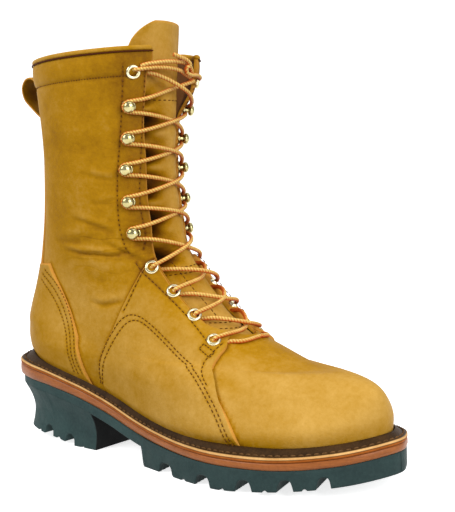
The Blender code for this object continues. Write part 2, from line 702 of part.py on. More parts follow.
def build_welt(leather):
    """Ring of leather on the midsole's edge, its top rising to a lip against the upper."""
    turn = np.arange(WELT_STEPS) / WELT_STEPS
    inside = upper_offset(turn, np.full(WELT_STEPS, WELT_LEVEL), np.full(WELT_STEPS, 2 * GAP))[:, :2]
    outline = sole_loop(WELT_TRACE, heel_overhang)
    nearest = np.linalg.norm(outline[None] - inside[:, None], axis=2).argmin(axis=1)
    edge = outline[nearest]
    corners = ((inside, 0.0), (edge, 0.0), (edge, WELT_THICK), (inside, WELT_THICK + WELT_LIP))
    ringed("welt", [lifted(loop, lambda x: bed(x) + lift) for loop, lift in corners], leather)


def build_upper(leather):
    """Hollow upper: outer face, inner face one wall inside, closed at sole edge, collar and throat."""
    rows = np.array([*VAMP_LEVELS, THROAT_LEVEL, *SHAFT_LEVELS, COLLAR_LEVEL])
    columns = UPPER_STEPS
    open_from = int(np.flatnonzero(rows == THROAT_LEVEL)[0])
    first, last = (edge[:, None] for edge in throat_edges(rows))
    share = np.linspace(0, 1, columns + 1)[None]
    u = first + (1 - first - last) * share
    v = np.repeat(rows[:, None], columns + 1, axis=1)
    outer = upper_point(u, v)
    inner = upper_offset(u, v, np.full(u.shape, -WALL))
    count = len(rows)
    index = np.arange(2 * count * (columns + 1)).reshape(2, count, columns + 1)
    faces = []
    for layer in index:
        quads = np.stack([layer[:-1, :-1], layer[:-1, 1:], layer[1:, 1:], layer[1:, :-1]], axis=-1)
        faces += quads.reshape(-1, 4).tolist()
    for row in (0, count - 1):
        rim = index[:, row]
        faces += np.stack([rim[0, :-1], rim[0, 1:], rim[1, 1:], rim[1, :-1]], axis=-1).tolist()
    for column in (0, columns):
        edge = index[:, open_from:, column]
        faces += np.stack([edge[0, :-1], edge[0, 1:], edge[1, 1:], edge[1, :-1]], axis=-1).tolist()
    return make_solid("upper", np.concatenate([outer.reshape(-1, 3), inner.reshape(-1, 3)]), faces, leather)


def sheet_over(name, u, v, look, low=OVERLAY_GAP, thick=OVERLAY):
    """Overlay cut from the upper's own surface, between two distances from it."""
    outer = upper_offset(u, v, np.full(u.shape, low + thick))
    inner = upper_offset(u, v, np.full(u.shape, low))
    return shell(name, outer, inner, look)


def build_overlays(leather):
    """Saddle on each side, heel counter and back strip."""
    edge_u, edge_v = locate(COUNTER_EDGE[:, 0], COUNTER_EDGE[:, 1])
    edge_v[0] = OVERLAY_FOOT
    v = np.linspace(OVERLAY_FOOT, edge_v[-1], COUNTER_ROWS)[:, None]
    start = through(edge_v, edge_u, v)
    share = np.linspace(0, 1, COUNTER_COLUMNS)[None]
    u = start + (1 - 2 * start) * share
    sheet_over("counter", u, np.repeat(v, COUNTER_COLUMNS, axis=1), leather)
    strip_v = np.linspace(edge_v[-1] + STRIP_SPACE, STRIP_TOP_LEVEL, STRIP_ROWS)[:, None]
    rise = (strip_v - strip_v[0]) / (strip_v[-1] - strip_v[0])
    half = STRIP_HALF_LOW + (STRIP_HALF_HIGH - STRIP_HALF_LOW) * rise
    half = half / loop_speed(BACK_U + 0 * strip_v, strip_v)
    u = BACK_U + half * np.linspace(-1, 1, STRIP_COLUMNS)[None]
    sheet_over("back_strip", u, np.repeat(strip_v, STRIP_COLUMNS, axis=1), leather)
    for name, inner in (("saddle_outer", False), ("saddle_inner", True)):
        build_saddle(name, inner, leather)


def saddle_edge(v):
    """Reach of the saddle's throat edge from the middle, in u."""
    corner = SADDLE_TIP_U * (1 - (v - SADDLE_TIP_LEVEL) / (SADDLE_TIP_END - SADDLE_TIP_LEVEL))
    return np.maximum(throat_half(v) + SADDLE_LIP, corner)


def build_saddle(name, inner, leather):
    """Instep piece with the lower eyelets: its four edges meet in u and v and are filled by blending."""
    back_u, back_v = locate(SADDLE_BACK[:, 0], SADDLE_BACK[:, 1])
    front_u, front_v = locate(SADDLE_FRONT[:, 0], SADDLE_FRONT[:, 1])
    back_v[0] = OVERLAY_FOOT
    front_v[0] = OVERLAY_FOOT
    top_v = np.linspace(SADDLE_TIP_LEVEL, SADDLE_TOP_LEVEL, SADDLE_COLUMNS)
    top = np.column_stack([saddle_edge(top_v), top_v])
    back = np.column_stack([np.append(back_u, top[-1, 0]), np.append(back_v, top_v[-1])])
    front = np.column_stack([np.append(front_u, top[0, 0]), np.append(front_v, top_v[0])])
    columns = np.linspace(0, 1, SADDLE_COLUMNS)
    rows = 1 - (1 - np.linspace(0, 1, SADDLE_ROWS)) ** SADDLE_CROWDING
    back = evenly(back, rows)
    front = evenly(front, rows)
    foot_u = front[0, 0] + (back[0, 0] - front[0, 0]) * columns
    foot = np.column_stack([foot_u, np.full(SADDLE_COLUMNS, OVERLAY_FOOT)])
    s, r = columns[None, :, None], rows[:, None, None]
    sides = (1 - s) * front[:, None] + s * back[:, None]
    ends = (1 - r) * foot[None] + r * top[None]
    corners = (1 - r) * ((1 - s) * front[0] + s * back[0]) + r * ((1 - s) * front[-1] + s * back[-1])
    field = sides + ends - corners
    u = 1 - field[..., 0] if inner else field[..., 0]
    sheet_over(name, u, field[..., 1], leather)


def evenly(points, shares):
    """Smooth line through the points, read at shares of its length."""
    chord = np.concatenate([[0], np.cumsum(np.linalg.norm(np.diff(points, axis=0), axis=1))])
    return through(chord, points, shares * chord[-1])


def build_binding(leather):
    """Rolled strip on the rim of the collar, from one throat edge to the other."""
    first, last = throat_edges(np.array(COLLAR_LEVEL))
    u = np.linspace(first, 1 - last, BINDING_STEPS)
    v = np.full(BINDING_STEPS, COLLAR_LEVEL)
    rim = upper_offset(u, v, np.full(BINDING_STEPS, -0.5 * WALL))
    rim[:, 2] += BINDING_GAP + 0.5 * BINDING_TALL
    out = upper_normal(u, v)
    out[:, 2] = 0
    out /= np.linalg.norm(out, axis=1)[:, None]
    sides = BINDING_SIDES
    turn = 2 * np.pi * (np.arange(sides) + 0.5) / sides
    flat = 1 / math.cos(math.pi / sides)
    ring = 0.5 * BINDING_THICK * flat * np.cos(turn)[None, :, None] * out[:, None]
    ring = ring + 0.5 * BINDING_TALL * flat * np.sin(turn)[None, :, None] * np.array((0, 0, 1.0))
    points = (rim[:, None] + ring).reshape(-1, 3)
    faces = []
    for i in range(len(rim) - 1):
        for k in range(sides):
            j = (k + 1) % sides
            faces.append((i * sides + k, i * sides + j, (i + 1) * sides + j, (i + 1) * sides + k))
    faces += [list(range(sides)), list(range(len(points) - sides, len(points)))]
    make_solid("collar_binding", points, faces, leather)


def build_tongue(leather):
    """Tongue just inside the throat, from under the vamp to over the collar, its round top leaning in."""
    crown = TONGUE_ROUND_LEVEL + (TONGUE_TOP_LEVEL - TONGUE_ROUND_LEVEL) * np.array(TONGUE_CROWN)
    v = np.concatenate([np.linspace(*TONGUE_LOW), np.linspace(*TONGUE_HIGH), crown])[:, None]
    rounding = np.clip((v - TONGUE_ROUND_LEVEL) / (TONGUE_TOP_LEVEL - TONGUE_ROUND_LEVEL), 0, 1)
    side = np.linspace(-1, 1, TONGUE_STEPS)[None]
    narrow = np.where(side < 0, TONGUE_CORNER * rounding**4, TONGUE_NARROWING * rounding**2)
    u = side * TONGUE_HALF * np.sqrt(1 - narrow) / loop_speed(0 * v, v)
    v = np.repeat(v, TONGUE_STEPS, axis=1)
    lean = TONGUE_LEAN * np.clip((v - TONGUE_LEAN_LEVEL) / (TONGUE_TOP_LEVEL - TONGUE_LEAN_LEVEL), 0, 1)
    top = -WALL - TONGUE_CLEAR - lean
    shell("tongue", upper_offset(u, v, top), upper_offset(u, v, top - TONGUE_THICK), leather)


def build_pull_loop(leather):
    """Closed strap loop at the back of the collar."""
    knots, curve = closed_through(PULL_LOOP_LINE)
    at = np.linspace(knots[0], knots[-1], PULL_LOOP_STEPS + 1)[:-1]
    side = 0.5 * PULL_LOOP_THICK * outward(curve, at)
    rings = []
    for face, y in ((1, -0.5), (-1, -0.5), (-1, 0.5), (1, 0.5)):
        line = curve(at) + face * side
        rings.append(np.column_stack([line[:, 0], np.full(len(line), y * PULL_LOOP_WIDTH), line[:, 1]]))
    ringed("pull_loop", rings, leather)


def lace_places():
    """u and v of the lace's holding points on the outer side from the toe up, and the leather under each."""
    line = np.concatenate([EYELET_LINE, HOOK_LINE, TOP_EYELET])
    u, v = locate(line[:, 0], line[:, 1])
    under = np.where(np.arange(len(line)) < len(EYELET_LINE), OVERLAY_GAP + OVERLAY, 0.0)
    return u, v, under


def build_hardware(brass):
    """Eyelet rings and hook studs on both sides."""
    u, v, under = lace_places()
    top = (EYELET_OUTER - EYELET_ROUND, EYELET_TALL)
    ring = np.array([(EYELET_INNER, 0), (EYELET_OUTER, 0), top, (EYELET_INNER, EYELET_TALL)])
    low, hooks = len(EYELET_LINE), len(HOOK_LINE)
    for side, inner in (("outer", False), ("inner", True)):
        for i in range(len(u)):
            hook = low <= i < low + hooks
            back = INNER_BACK / loop_speed(u[i], v[i]) if i < low + hooks else 0.0
            place = 1 - u[i] - back if inner else u[i]
            normal = upper_normal(place, v[i])
            centre = upper_point(place, v[i]) + (under[i] + GAP) * normal
            if hook:
                revolved(f"hook_{side}_{i - low + 1}", HOOK_PROFILE, centre, normal, HOOK_SIDES, brass)
            else:
                number = i + 1 if i < low else low + 1
                revolved(f"eyelet_{side}_{number}", ring, centre, normal, EYELET_SIDES, brass, hollow=True)


def lace_bar(u, v, under, start, end):
    """Path of one crossing from holding point start on the outer side to end on the inner side."""
    share = np.linspace(0, 1, LACE_BAR_STEPS)
    first = u[start] - LACE_STOP / loop_speed(u[start], v[start])
    last = -u[end] + LACE_STOP / loop_speed(-u[end], v[end])
    level = v[start] + (v[end] - v[start]) * share
    out = LACE_CLEAR + LACE_RADIUS + under[start] + (under[end] - under[start]) * share
    return upper_offset(first + (last - first) * share, level, out)


def build_laces(weave):
    """Crossings over the tongue as one solid, and the tied ends at the top eyelets as free cords."""
    u, v, under = lace_places()
    lace = tube("lace", lace_bar(u, v, under, 0, 0), LACE_RADIUS, LACE_SIDES, weave)
    for i in range(len(u) - 1):
        for start, end in ((i, i + 1), (i + 1, i)):
            path = lace_bar(u, v, under, start, end)
            bar = tube(f"join_{start}_{end}", path, LACE_RADIUS, LACE_SIDES, weave)
            combine(lace, make_helper(bar), "UNION")
    turn = np.linspace(0, 2 * np.pi, KNOT_STEPS, endpoint=False)
    across = np.sin(turn) + 2 * np.sin(2 * turn)
    up = np.cos(turn) - 2 * np.cos(2 * turn)
    out = KNOT_OUT + KNOT_SIZE * KNOT_DEEP * np.sin(3 * turn)
    speed = loop_speed(KNOT_U, KNOT_LEVEL)
    small = 0.01
    rise = np.linalg.norm(upper_point(KNOT_U, KNOT_LEVEL) - upper_point(KNOT_U, KNOT_LEVEL - small)) / small
    knot = upper_offset(KNOT_U + KNOT_SIZE * across / speed, KNOT_LEVEL + KNOT_SIZE * up / rise, out)
    cord("lace_knot", knot, weave, closed=True)
    for name, line in LACE_ENDS.items():
        line = np.array(line)
        path = evenly(line, np.linspace(0, 1, LACE_END_STEPS))
        cord(name, upper_offset(path[:, 0], path[:, 1], path[:, 2] * MM), weave)


def centre_on_origin():
    """Puts the solids so that the origin lies under the middle of their box."""
    bpy.context.view_layer.update()
    solids = [obj for obj in bpy.context.scene.objects if obj.type == "MESH" and not obj.hide_render]
    corners = np.array([obj.matrix_world @ vert.co for obj in solids for vert in obj.data.vertices])
    middle = 0.5 * (corners.min(axis=0) + corners.max(axis=0))
    shift = np.array((-middle[0], -middle[1], 0))
    for obj in bpy.context.scene.objects:
        obj.location = shift


def main():
    clear_scene()
    rubber = make_look("sole_rubber", (0.02, 0.022, 0.026), 0.8)
    edge = make_look("edge_leather", (0.35, 0.14, 0.06), 0.6)
    brown = make_look("brown_leather", (0.12, 0.05, 0.025), 0.5)
    lining = make_look("insole_leather", (0.3, 0.2, 0.12), 0.8)
    brass = make_look("brass", (0.7, 0.5, 0.2), 0.3, 1.0)
    weave = make_look("lace_weave", (0.55, 0.3, 0.05), 0.8)
    build_sole(rubber, edge, lining)
    build_upper(brown)
    build_overlays(brown)
    build_binding(brown)
    build_tongue(brown)
    build_pull_loop(brown)
    build_hardware(brass)
    build_laces(weave)
    centre_on_origin()


main()
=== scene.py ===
# %% [markdown]
# # Lineman boot
# A tall laced work boot for the right foot, on a lugged rubber sole with a separate heel block. The packed
# solids give its frame and its sizes. This lesson lays the finished leather, thread, brass, lace and rubber
# over them, first the upper with all that is sewn and laced to it, then the sole, and lights it like a
# catalogue picture.

import json
import math

import bpy
import numpy as np
from mathutils import Matrix


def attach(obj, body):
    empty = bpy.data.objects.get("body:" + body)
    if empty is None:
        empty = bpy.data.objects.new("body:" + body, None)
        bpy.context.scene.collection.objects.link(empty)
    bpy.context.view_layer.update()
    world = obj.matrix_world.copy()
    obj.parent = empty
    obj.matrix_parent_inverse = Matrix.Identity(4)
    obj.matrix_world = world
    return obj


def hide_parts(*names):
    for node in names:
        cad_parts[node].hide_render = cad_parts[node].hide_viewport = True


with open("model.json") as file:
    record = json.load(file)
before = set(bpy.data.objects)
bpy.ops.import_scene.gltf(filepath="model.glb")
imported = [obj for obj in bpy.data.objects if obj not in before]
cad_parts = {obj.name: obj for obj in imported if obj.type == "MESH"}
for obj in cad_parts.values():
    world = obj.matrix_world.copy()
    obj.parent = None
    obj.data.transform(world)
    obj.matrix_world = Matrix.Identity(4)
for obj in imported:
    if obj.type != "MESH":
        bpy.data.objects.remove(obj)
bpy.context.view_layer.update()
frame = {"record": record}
MM = 0.001
HEEL_REST = MM * np.array((86, -15, 0))  # the heel's mount, measured from the back of the sole
mount = next(m for m in frame["record"]["mounts"] if m["name"] == "heel_rest")
SHIFT = np.array(mount["pos_m"]) - HEEL_REST
print("the back of the sole lies at", np.round(SHIFT * 1000, 2), "mm")

# %% [markdown]
# The camera stands a little above the sole's level, off the outer side of the toe. It was fitted to the
# outline of the boot, so its lens is long and its picture is shifted a little off the middle.

# %% Camera
CAMERA_TURN = math.radians(40.184)
CAMERA_RISE = math.radians(4.436)
CAMERA_ROLL = math.radians(-1.7345)
CAMERA_FAR = 0.720
CAMERA_AIM = np.array((0.15853, 0.00831, 0.14477))
CAMERA_LENS = 75.73
CAMERA_SHIFT = (0.04357, -0.03417)


def unit(vectors):
    """Vectors divided by their own length."""
    return vectors / np.linalg.norm(vectors, axis=-1)[..., None]


def add_camera():
    """Camera that looks back along the direction given by turn and rise, then rolled about that line."""
    level = math.cos(CAMERA_RISE)
    back = np.array((math.sin(CAMERA_TURN) * level, -math.cos(CAMERA_TURN) * level, math.sin(CAMERA_RISE)))
    side = unit(np.cross(-back, (0, 0, 1)))
    up = np.cross(side, -back)
    right = side * math.cos(CAMERA_ROLL) + up * math.sin(CAMERA_ROLL)
    up = up * math.cos(CAMERA_ROLL) - side * math.sin(CAMERA_ROLL)
    lens = bpy.data.cameras.new("camera")
    lens.lens = CAMERA_LENS
    lens.sensor_width = 36
    lens.shift_x, lens.shift_y = CAMERA_SHIFT
    lens.clip_start, lens.clip_end = 0.01, 50
    camera = bpy.data.objects.new("camera", lens)
    turned = np.eye(4)
    turned[:3, :3] = np.column_stack([right, up, back])
    turned[:3, 3] = CAMERA_AIM + SHIFT + CAMERA_FAR * back
    camera.matrix_world = Matrix(turned.tolist())
    bpy.context.scene.collection.objects.link(camera)
    bpy.context.scene.camera = camera
    return turned[:3, 3]


eye = add_camera()
print("camera at", np.round(eye, 3), "m")

# %% [markdown]
# Smooth lines run through most of the boot: sole edges, sections of the leather and the lace are all curves
# through a few measured points. One rule serves them all. Between two points the curve is a cubic whose slope
# at each end is that of the parabola through the neighbouring points.


# %% Curves through points
def slopes(knots, values):
    """Slope at each knot: that of the parabola through three neighbouring values."""
    step = np.diff(knots)
    rise = np.diff(values, axis=0) / step[:, None]
    inner = (rise[:-1] * step[1:, None] + rise[1:] * step[:-1, None]) / (step[:-1] + step[1:])[:, None]
    return np.concatenate([[rise[0]], inner, [rise[-1]]])


def cubic(t, step, start, stop, start_slope, stop_slope):
    """Cubic from start to stop with the slopes given at both, at share t of the step between them."""
    return (
        (2 * t**3 - 3 * t**2 + 1) * start
        + (t**3 - 2 * t**2 + t) * step * start_slope
        + (3 * t**2 - 2 * t**3) * stop
        + (t**3 - t**2) * step * stop_slope
    )


def through(knots, values, at):
    """Smooth curve through values at the knots, read at the given places; straight on past the ends."""
    knots, values, at = np.asarray(knots, float), np.asarray(values, float), np.asarray(at, float)
    table = values.reshape(len(values), -1)
    tangent = slopes(knots, table)
    place = np.clip(np.searchsorted(knots, at, side="right") - 1, 0, len(knots) - 2)
    step = (knots[place + 1] - knots[place])[..., None]
    t = np.clip((at - knots[place])[..., None] / step, 0, 1)
    over = (at - np.clip(at, knots[0], knots[-1]))[..., None]
    made = cubic(t, step, table[place], table[place + 1], tangent[place], tangent[place + 1])
    made = made + over * np.where(over > 0, tangent[-1], tangent[0])
    return made.reshape(at.shape + values.shape[1:])


def run_along(points):
    """Distance of each point from the first one along their line."""
    return np.concatenate([[0], np.cumsum(np.linalg.norm(np.diff(points, axis=0), axis=1))])


def evenly(points, shares):
    """Smooth line through the points, read at shares of its length."""
    points = np.asarray(points, float)
    chord = run_along(points)
    return through(chord, points, np.asarray(shares) * chord[-1])


def closed_through(points):
    """Knots and function of a closed smooth curve through the points, run by chord length."""
    lap = np.concatenate([points, points, points])
    chord = run_along(lap)
    count = len(points)
    return chord[count : 2 * count + 1], lambda at: through(chord, lap, at)


print("half way up an arch through 0, 1, 0:", round(float(through((0, 1, 2), (0, 1, 0), 0.5)), 2))

# %% [markdown]
# Four small rules shape most details: a soft step from 0 to 1, shares that crowd at both ends of a line, the
# angles of a ring, and a power that makes a round section squarer. Curves through points could do the same,
# but each rule here is one formula.


# %% Soft steps and rings
def eased(low, high, x):
    """0 below low, 1 above high, and an S-shaped rise between them."""
    t = np.clip((x - low) / (high - low), 0, 1)
    return t * t * (3 - 2 * t)


def crowded(count, pull=1.0):
    """Shares from 0 to 1 that crowd towards both ends; pull 0 spaces them evenly."""
    t = np.linspace(0, 1, count)
    return (1 - pull) * t + pull * 0.5 * (1 - np.cos(np.pi * t))


def turns(sides):
    """Angles of the spokes of a ring."""
    return 2 * np.pi * np.arange(sides) / sides


def blunted(values, power):
    """Values raised to a power with their sign kept; under 1 it makes a round section squarer."""
    return np.sign(values) * np.abs(values) ** power


print("half way along an S-shaped rise:", eased(0, 1, 0.5))

# %% [markdown]
# The sole is drawn first, since the leather stands on it. Seen from above it bends to the inner side of the
# foot. Seen from the side its top dips from the heel to the ball and rises again at the toe.

# %% Lines of the sole
WAIST_RUBBER = 6.5 * MM
CLEARANCE = 0.3 * MM
OUTLINE_POINTS = 2500  # of each side, where a place on the outline is searched
SOLE_PLAN = MM * np.array(
    [
        # along, outer, inner
        (3, 15.5, 15.5), (10.5, 27.5, 27), (28, 36.5, 35.5), (50, 39, 37), (78, 38.5, 35),
        (105, 39, 31.5), (130, 42, 31), (160, 48, 37), (190, 54, 47), (212, 56, 53),
        (235, 53.5, 56.5), (260, 46, 54.5), (280, 35, 46), (295, 23.5, 31), (303, 13.5, 18),
    ]
)  # fmt: skip
HEEL_TIP = MM * np.array((0.5, 0))
TOE_TIP = MM * np.array((308.5, 2))
SEAT_X = MM * np.array((0, 22, 45, 75, 105, 135, 165, 195, 225, 255, 285, 312))
SEAT_Z = MM * np.array((45.5, 44.3, 42, 36.3, 28.5, 20.5, 16.5, 15, 15, 16, 19.5, 25.5))
TREAD_X = MM * np.array((0, 190, 213, 236, 260, 285, 312))
TREAD_Z = MM * np.array((0, 0, 0, 1.7, 4, 7.3, 13))
MIDSOLE_X = MM * np.array((0, 30, 70, 120, 160, 312))
MIDSOLE_Z = MM * np.array((7.8, 7.2, 5.8, 5, 4.4, 4.4))
OVERHANG_X = MM * np.array((-6, 15, 40, 312))
OVERHANG_Y = MM * np.array((3, 2, 0.8, 0.4))


def seat(x):
    """Top of the rubber."""
    return through(SEAT_X, SEAT_Z, x)


def tread(x):
    """Floor line: level up to the ball, then the toe spring."""
    return np.maximum(through(TREAD_X, TREAD_Z, x), 0)


def midsole_thick(x):
    """Thickness of the leather layer over the rubber."""
    return through(MIDSOLE_X, MIDSOLE_Z, np.clip(x, 0, None))


def bed(x):
    """Height on which upper, welt and insole stand."""
    return seat(x) + midsole_thick(x) + 2 * CLEARANCE


def sole_curve():
    """Closed outline of the sole from the heel over the outer side, its knots, and the knot of the toe."""
    outer = SOLE_PLAN[:, :2] * (1, -1)
    points = np.concatenate([[HEEL_TIP], outer, [TOE_TIP], SOLE_PLAN[::-1, ::2]])
    knots, curve = closed_through(points)
    return knots, curve, knots[len(outer) + 1]


def sole_loop(half_count, overhang=0.0):
    """Outline moved out along its normal by the leather's overhang, taken in that share."""
    knots, curve, toe = sole_curve()
    share = crowded(half_count + 1, 0.5)
    up = knots[0] + (toe - knots[0]) * share
    down = toe + (knots[-1] - toe) * share
    at = np.concatenate([up[:-1], down[:-1]])
    loop = curve(at)
    along = unit(curve(at + 1e-4) - curve(at - 1e-4))
    out = np.column_stack([along[:, 1], -along[:, 0]])
    reach = overhang * through(OVERHANG_X, OVERHANG_Y, loop[:, 0])
    return loop + reach[:, None] * out, out


print("sole length", round(float(np.ptp(sole_loop(200)[0][:, 0])) * 1000, 1), "mm")

# %% [markdown]
# The leather of foot and shaft is one bent surface. Twelve sections, from the feather on the sole to the
# collar, are closed loops through ten points; curves up the boot join them. A place on it has a share u round
# the boot, from the front over the outer side, and a level v from the sole to the collar.

# %% Surface of the upper
WALL = 2.4 * MM
SECTION_ROWS = np.array(
    [
        # level back_x back_z front_x front_y front_z follow, outer heel waist ball toe, inner the same
        (0.000, 2.5, 51, 298.5, 3, 27, 1.0, 31, 32, 46.5, 31, 29.5, 24.5, 43.2, 40.5),
        (0.040, 0.5, 63, 299.5, 3, 44, 1.0, 33.8, 34.8, 49.6, 33.5, 32.3, 27.5, 46, 42.5),
        (0.080, 0, 71, 295, 3, 57.5, 0.7, 35.8, 38, 46, 24, 34.2, 31, 42.5, 31),
        (0.150, 1, 79, 270, 4, 67, 0.4, 35.4, 38, 39, 19, 34, 32, 34.5, 22),
        (0.190, 2, 83, 251, 4, 67.3, 0.3, 34.8, 37.6, 37.4, 21.5, 33.5, 32.6, 33.5, 24),
        (0.235, 3, 87, 227, 4, 74, 0.2, 34, 37.2, 36, 24, 33, 33, 32.5, 26),
        (0.315, 7, 97, 196, 2.2, 88.5, 0, 32, 36.2, 34.2, 24.5, 31.2, 33.6, 32.2, 21.5),
        (0.405, 13.5, 110, 170, 1.2, 111, 0, 30, 36, 33, 22.5, 29.5, 34.6, 31.5, 18),
        (0.495, 22, 128, 150, 0.2, 135, 0, 29.5, 38, 34, 21.5, 29, 37, 33, 17.5),
        (0.590, 29.5, 152, 141, 0, 162, 0, 30.5, 41, 37, 23, 30.5, 41, 36, 19.5),
        (0.765, 33.5, 202, 138.5, 0, 207, 0, 32, 45, 40.5, 25, 32, 45, 38.2, 18.5),
        (1.000, 28, 260.5, 144, 0, 266, 0, 34, 49, 45, 28, 34, 49, 44.5, 27),
    ]
)
LEVELS, FOLLOW = SECTION_ROWS[:, 0], SECTION_ROWS[:, 6]
STATIONS = np.array((0.13, 0.38, 0.68, 0.90))  # heel, waist, ball and toe on the way from back to front
LOOP_KNOTS = np.array([0, 0.0825, 0.1775, 0.2975, 0.405, 0.5, 0.595, 0.7025, 0.8225, 0.9175])
THROAT_LEVEL = 0.297
THROAT_ROUND = 16 * MM
THROAT_HALF = (15 * MM, 20 * MM)
COLLAR_LEVEL = 1.0


def section_points():
    """Ten points of each section, with the share of the bed that it follows taken off their height."""
    row = MM * SECTION_ROWS
    back = np.stack([row[:, 1], 0 * row[:, 1], row[:, 2]], axis=1)
    front = np.stack([row[:, 3], row[:, 4], row[:, 5]], axis=1)
    back[0, 2], front[0, 2] = bed(back[0, 0]), bed(front[0, 0])
    share = STATIONS[None, :, None]
    middle = back[:, None] + share * (front - back)[:, None]
    chord = bed(back[:, 0])[:, None] + STATIONS * (bed(front[:, 0]) - bed(back[:, 0]))[:, None]
    middle[..., 2] += FOLLOW[:, None] * (bed(middle[..., 0]) - chord)
    outer, inner = middle.copy(), middle.copy()
    outer[..., 1], inner[..., 1] = -row[:, 7:11], row[:, 11:15]
    made = np.concatenate([front[:, None], outer[:, ::-1], back[:, None], inner], axis=1)
    made[..., 2] -= FOLLOW[:, None] * bed(made[..., 0])
    return made


SECTIONS = section_points()


print(len(SECTIONS), "sections of", SECTIONS.shape[1], "points")

# %% [markdown]
# A place on the leather is found in two steps: curves up the boot give the loop at its level, and the curve
# round that loop gives the point. Its outward direction and its scale come from small steps to each side,
# which is simpler than writing out the slopes.


# %% Points and directions on the upper
def upper_point(u, v):
    """Point of the outer face: curves through the sections up the boot, then round the loop at that level."""
    u, v = np.broadcast_arrays(np.asarray(u, float), np.asarray(v, float))
    loops = through(LEVELS, SECTIONS, v)
    knots = np.concatenate([LOOP_KNOTS - 1, LOOP_KNOTS, LOOP_KNOTS + 1])
    at = np.mod(u, 1.0)
    place = np.searchsorted(knots, at, side="right") - 1

    def pick(shift):
        number = ((place + shift) % len(LOOP_KNOTS))[..., None, None]
        return np.take_along_axis(loops, number, axis=-2)[..., 0, :]

    def tangent(p, q, r, a, b, c):
        first, second = (q - p) / (b - a)[..., None], (r - q) / (c - b)[..., None]
        return (first * (c - b)[..., None] + second * (b - a)[..., None]) / (c - a)[..., None]

    p0, p1, p2, p3 = (pick(shift) for shift in (-1, 0, 1, 2))
    k0, k1, k2, k3 = (knots[place + shift] for shift in (-1, 0, 1, 2))
    step = (k2 - k1)[..., None]
    t = (at - k1)[..., None] / step
    made = cubic(t, step, p1, p2, tangent(p0, p1, p2, k0, k1, k2), tangent(p1, p2, p3, k1, k2, k3))
    made[..., 2] += through(LEVELS, FOLLOW, np.minimum(v, COLLAR_LEVEL)) * bed(made[..., 0])
    return made


def upper_normal(u, v):
    """Outward direction, at right angles to the lines round and up the boot."""
    small = 1e-3
    across = upper_point(u + small, v) - upper_point(u - small, v)
    up = upper_point(u, v + small) - upper_point(u, v - small)
    return unit(np.cross(up, across))


def loop_speed(u, v):
    """Metres round the boot for a unit of u."""
    return np.linalg.norm(upper_point(u + 1e-3, v) - upper_point(u - 1e-3, v), axis=-1) / 2e-3


def rise_speed(u, v):
    """Metres up the boot for a unit of v."""
    return np.linalg.norm(upper_point(u, v + 1e-3) - upper_point(u, v - 1e-3), axis=-1) / 2e-3


print("collar stands", round(float(upper_point(0.25, 1.0)[2]) * 1000), "mm over the floor")

# %% [markdown]
# The throat is a slit up the front, rounded at its foot. Lines that were read in the side view find their
# places on the leather by a search: a grid gives a first guess, and Newton steps close in on it.


# %% Throat and places from the side view
def throat_half(v):
    """Half width of the throat slit in u; it opens like a quarter circle from its rounded end."""
    v = np.asarray(v, float)
    ridge = upper_point(0.0, np.maximum(v, THROAT_LEVEL)) - upper_point(0.0, np.full_like(v, THROAT_LEVEL))
    rise = np.linalg.norm(ridge, axis=-1)
    open_share = np.sqrt(1 - (1 - np.clip(rise / THROAT_ROUND, 0, 1)) ** 2)
    taper = np.clip((v - THROAT_LEVEL) / (COLLAR_LEVEL - THROAT_LEVEL), 0, 1)
    width = THROAT_HALF[0] + (THROAT_HALF[1] - THROAT_HALF[0]) * np.sqrt(taper)
    return open_share * width / loop_speed(0.0 * v, v)


def locate(line, inner=False):
    """Shares u and levels v of side-view points in mm (along, height): a search, then Newton steps."""
    x, z = MM * np.asarray(line, float).T
    grid_u, grid_v = np.meshgrid(np.linspace(0.02, 0.48, 47), np.linspace(0, 1, 61))
    grid_u = 1 - grid_u if inner else grid_u
    sample = upper_point(grid_u, grid_v)
    far = (sample[..., 0, None] - x) ** 2 + (sample[..., 2, None] - z) ** 2
    nearest = far.reshape(-1, len(x)).argmin(axis=0)
    u, v = grid_u.ravel()[nearest], grid_v.ravel()[nearest]
    small = 1e-4
    for _ in range(8):
        here = upper_point(u, v)
        du = (upper_point(u + small, v) - here)[:, ::2] / small
        dv = (upper_point(u, v + small) - here)[:, ::2] / small
        miss = np.stack([x - here[:, 0], z - here[:, 2]], axis=1)
        det = du[:, 0] * dv[:, 1] - du[:, 1] * dv[:, 0]
        u = u + np.clip((miss[:, 0] * dv[:, 1] - miss[:, 1] * dv[:, 0]) / det, -0.02, 0.02)
        v = v + np.clip((du[:, 0] * miss[:, 1] - du[:, 1] * miss[:, 0]) / det, -0.02, 0.02)
    return u, v


print("the throat is", round(2000 * float(throat_half(1.0) * loop_speed(0.0, 1.0))), "mm wide at the collar")

# %% [markdown]
# Every piece becomes a mesh in the same way: an array of points, an array of faces, and single numbers at the
# points that the colours read later. A closed piece is measured by its signed volume, which turns its faces
# outwards where they came out wrong.


# %% Meshes from arrays
def grid_faces(rows, columns, around=False, first=0):
    """Quads of a grid stored row after row; around joins the last column to the first."""
    r, c = np.meshgrid(np.arange(rows - 1), np.arange(columns if around else columns - 1), indexing="ij")
    n = (c + 1) % columns
    corners = [r * columns + c, r * columns + n, (r + 1) * columns + n, (r + 1) * columns + c]
    return first + np.stack(corners, axis=-1).reshape(-1, 4)


def end_fan(count, sides):
    """Triangles that close the last ring round a middle point, which is stored after the rings."""
    ring = (count - 1) * sides + np.arange(sides)
    return np.stack([ring, np.roll(ring, -1), np.full(sides, count * sides)], axis=-1)


def ring_faces(times, rings, sides):
    """Quads of several tubes of rings, stored one after another."""
    first = np.arange(times)[:, None, None] * rings * sides
    return (first + grid_faces(rings, sides, around=True)).reshape(-1, 4)


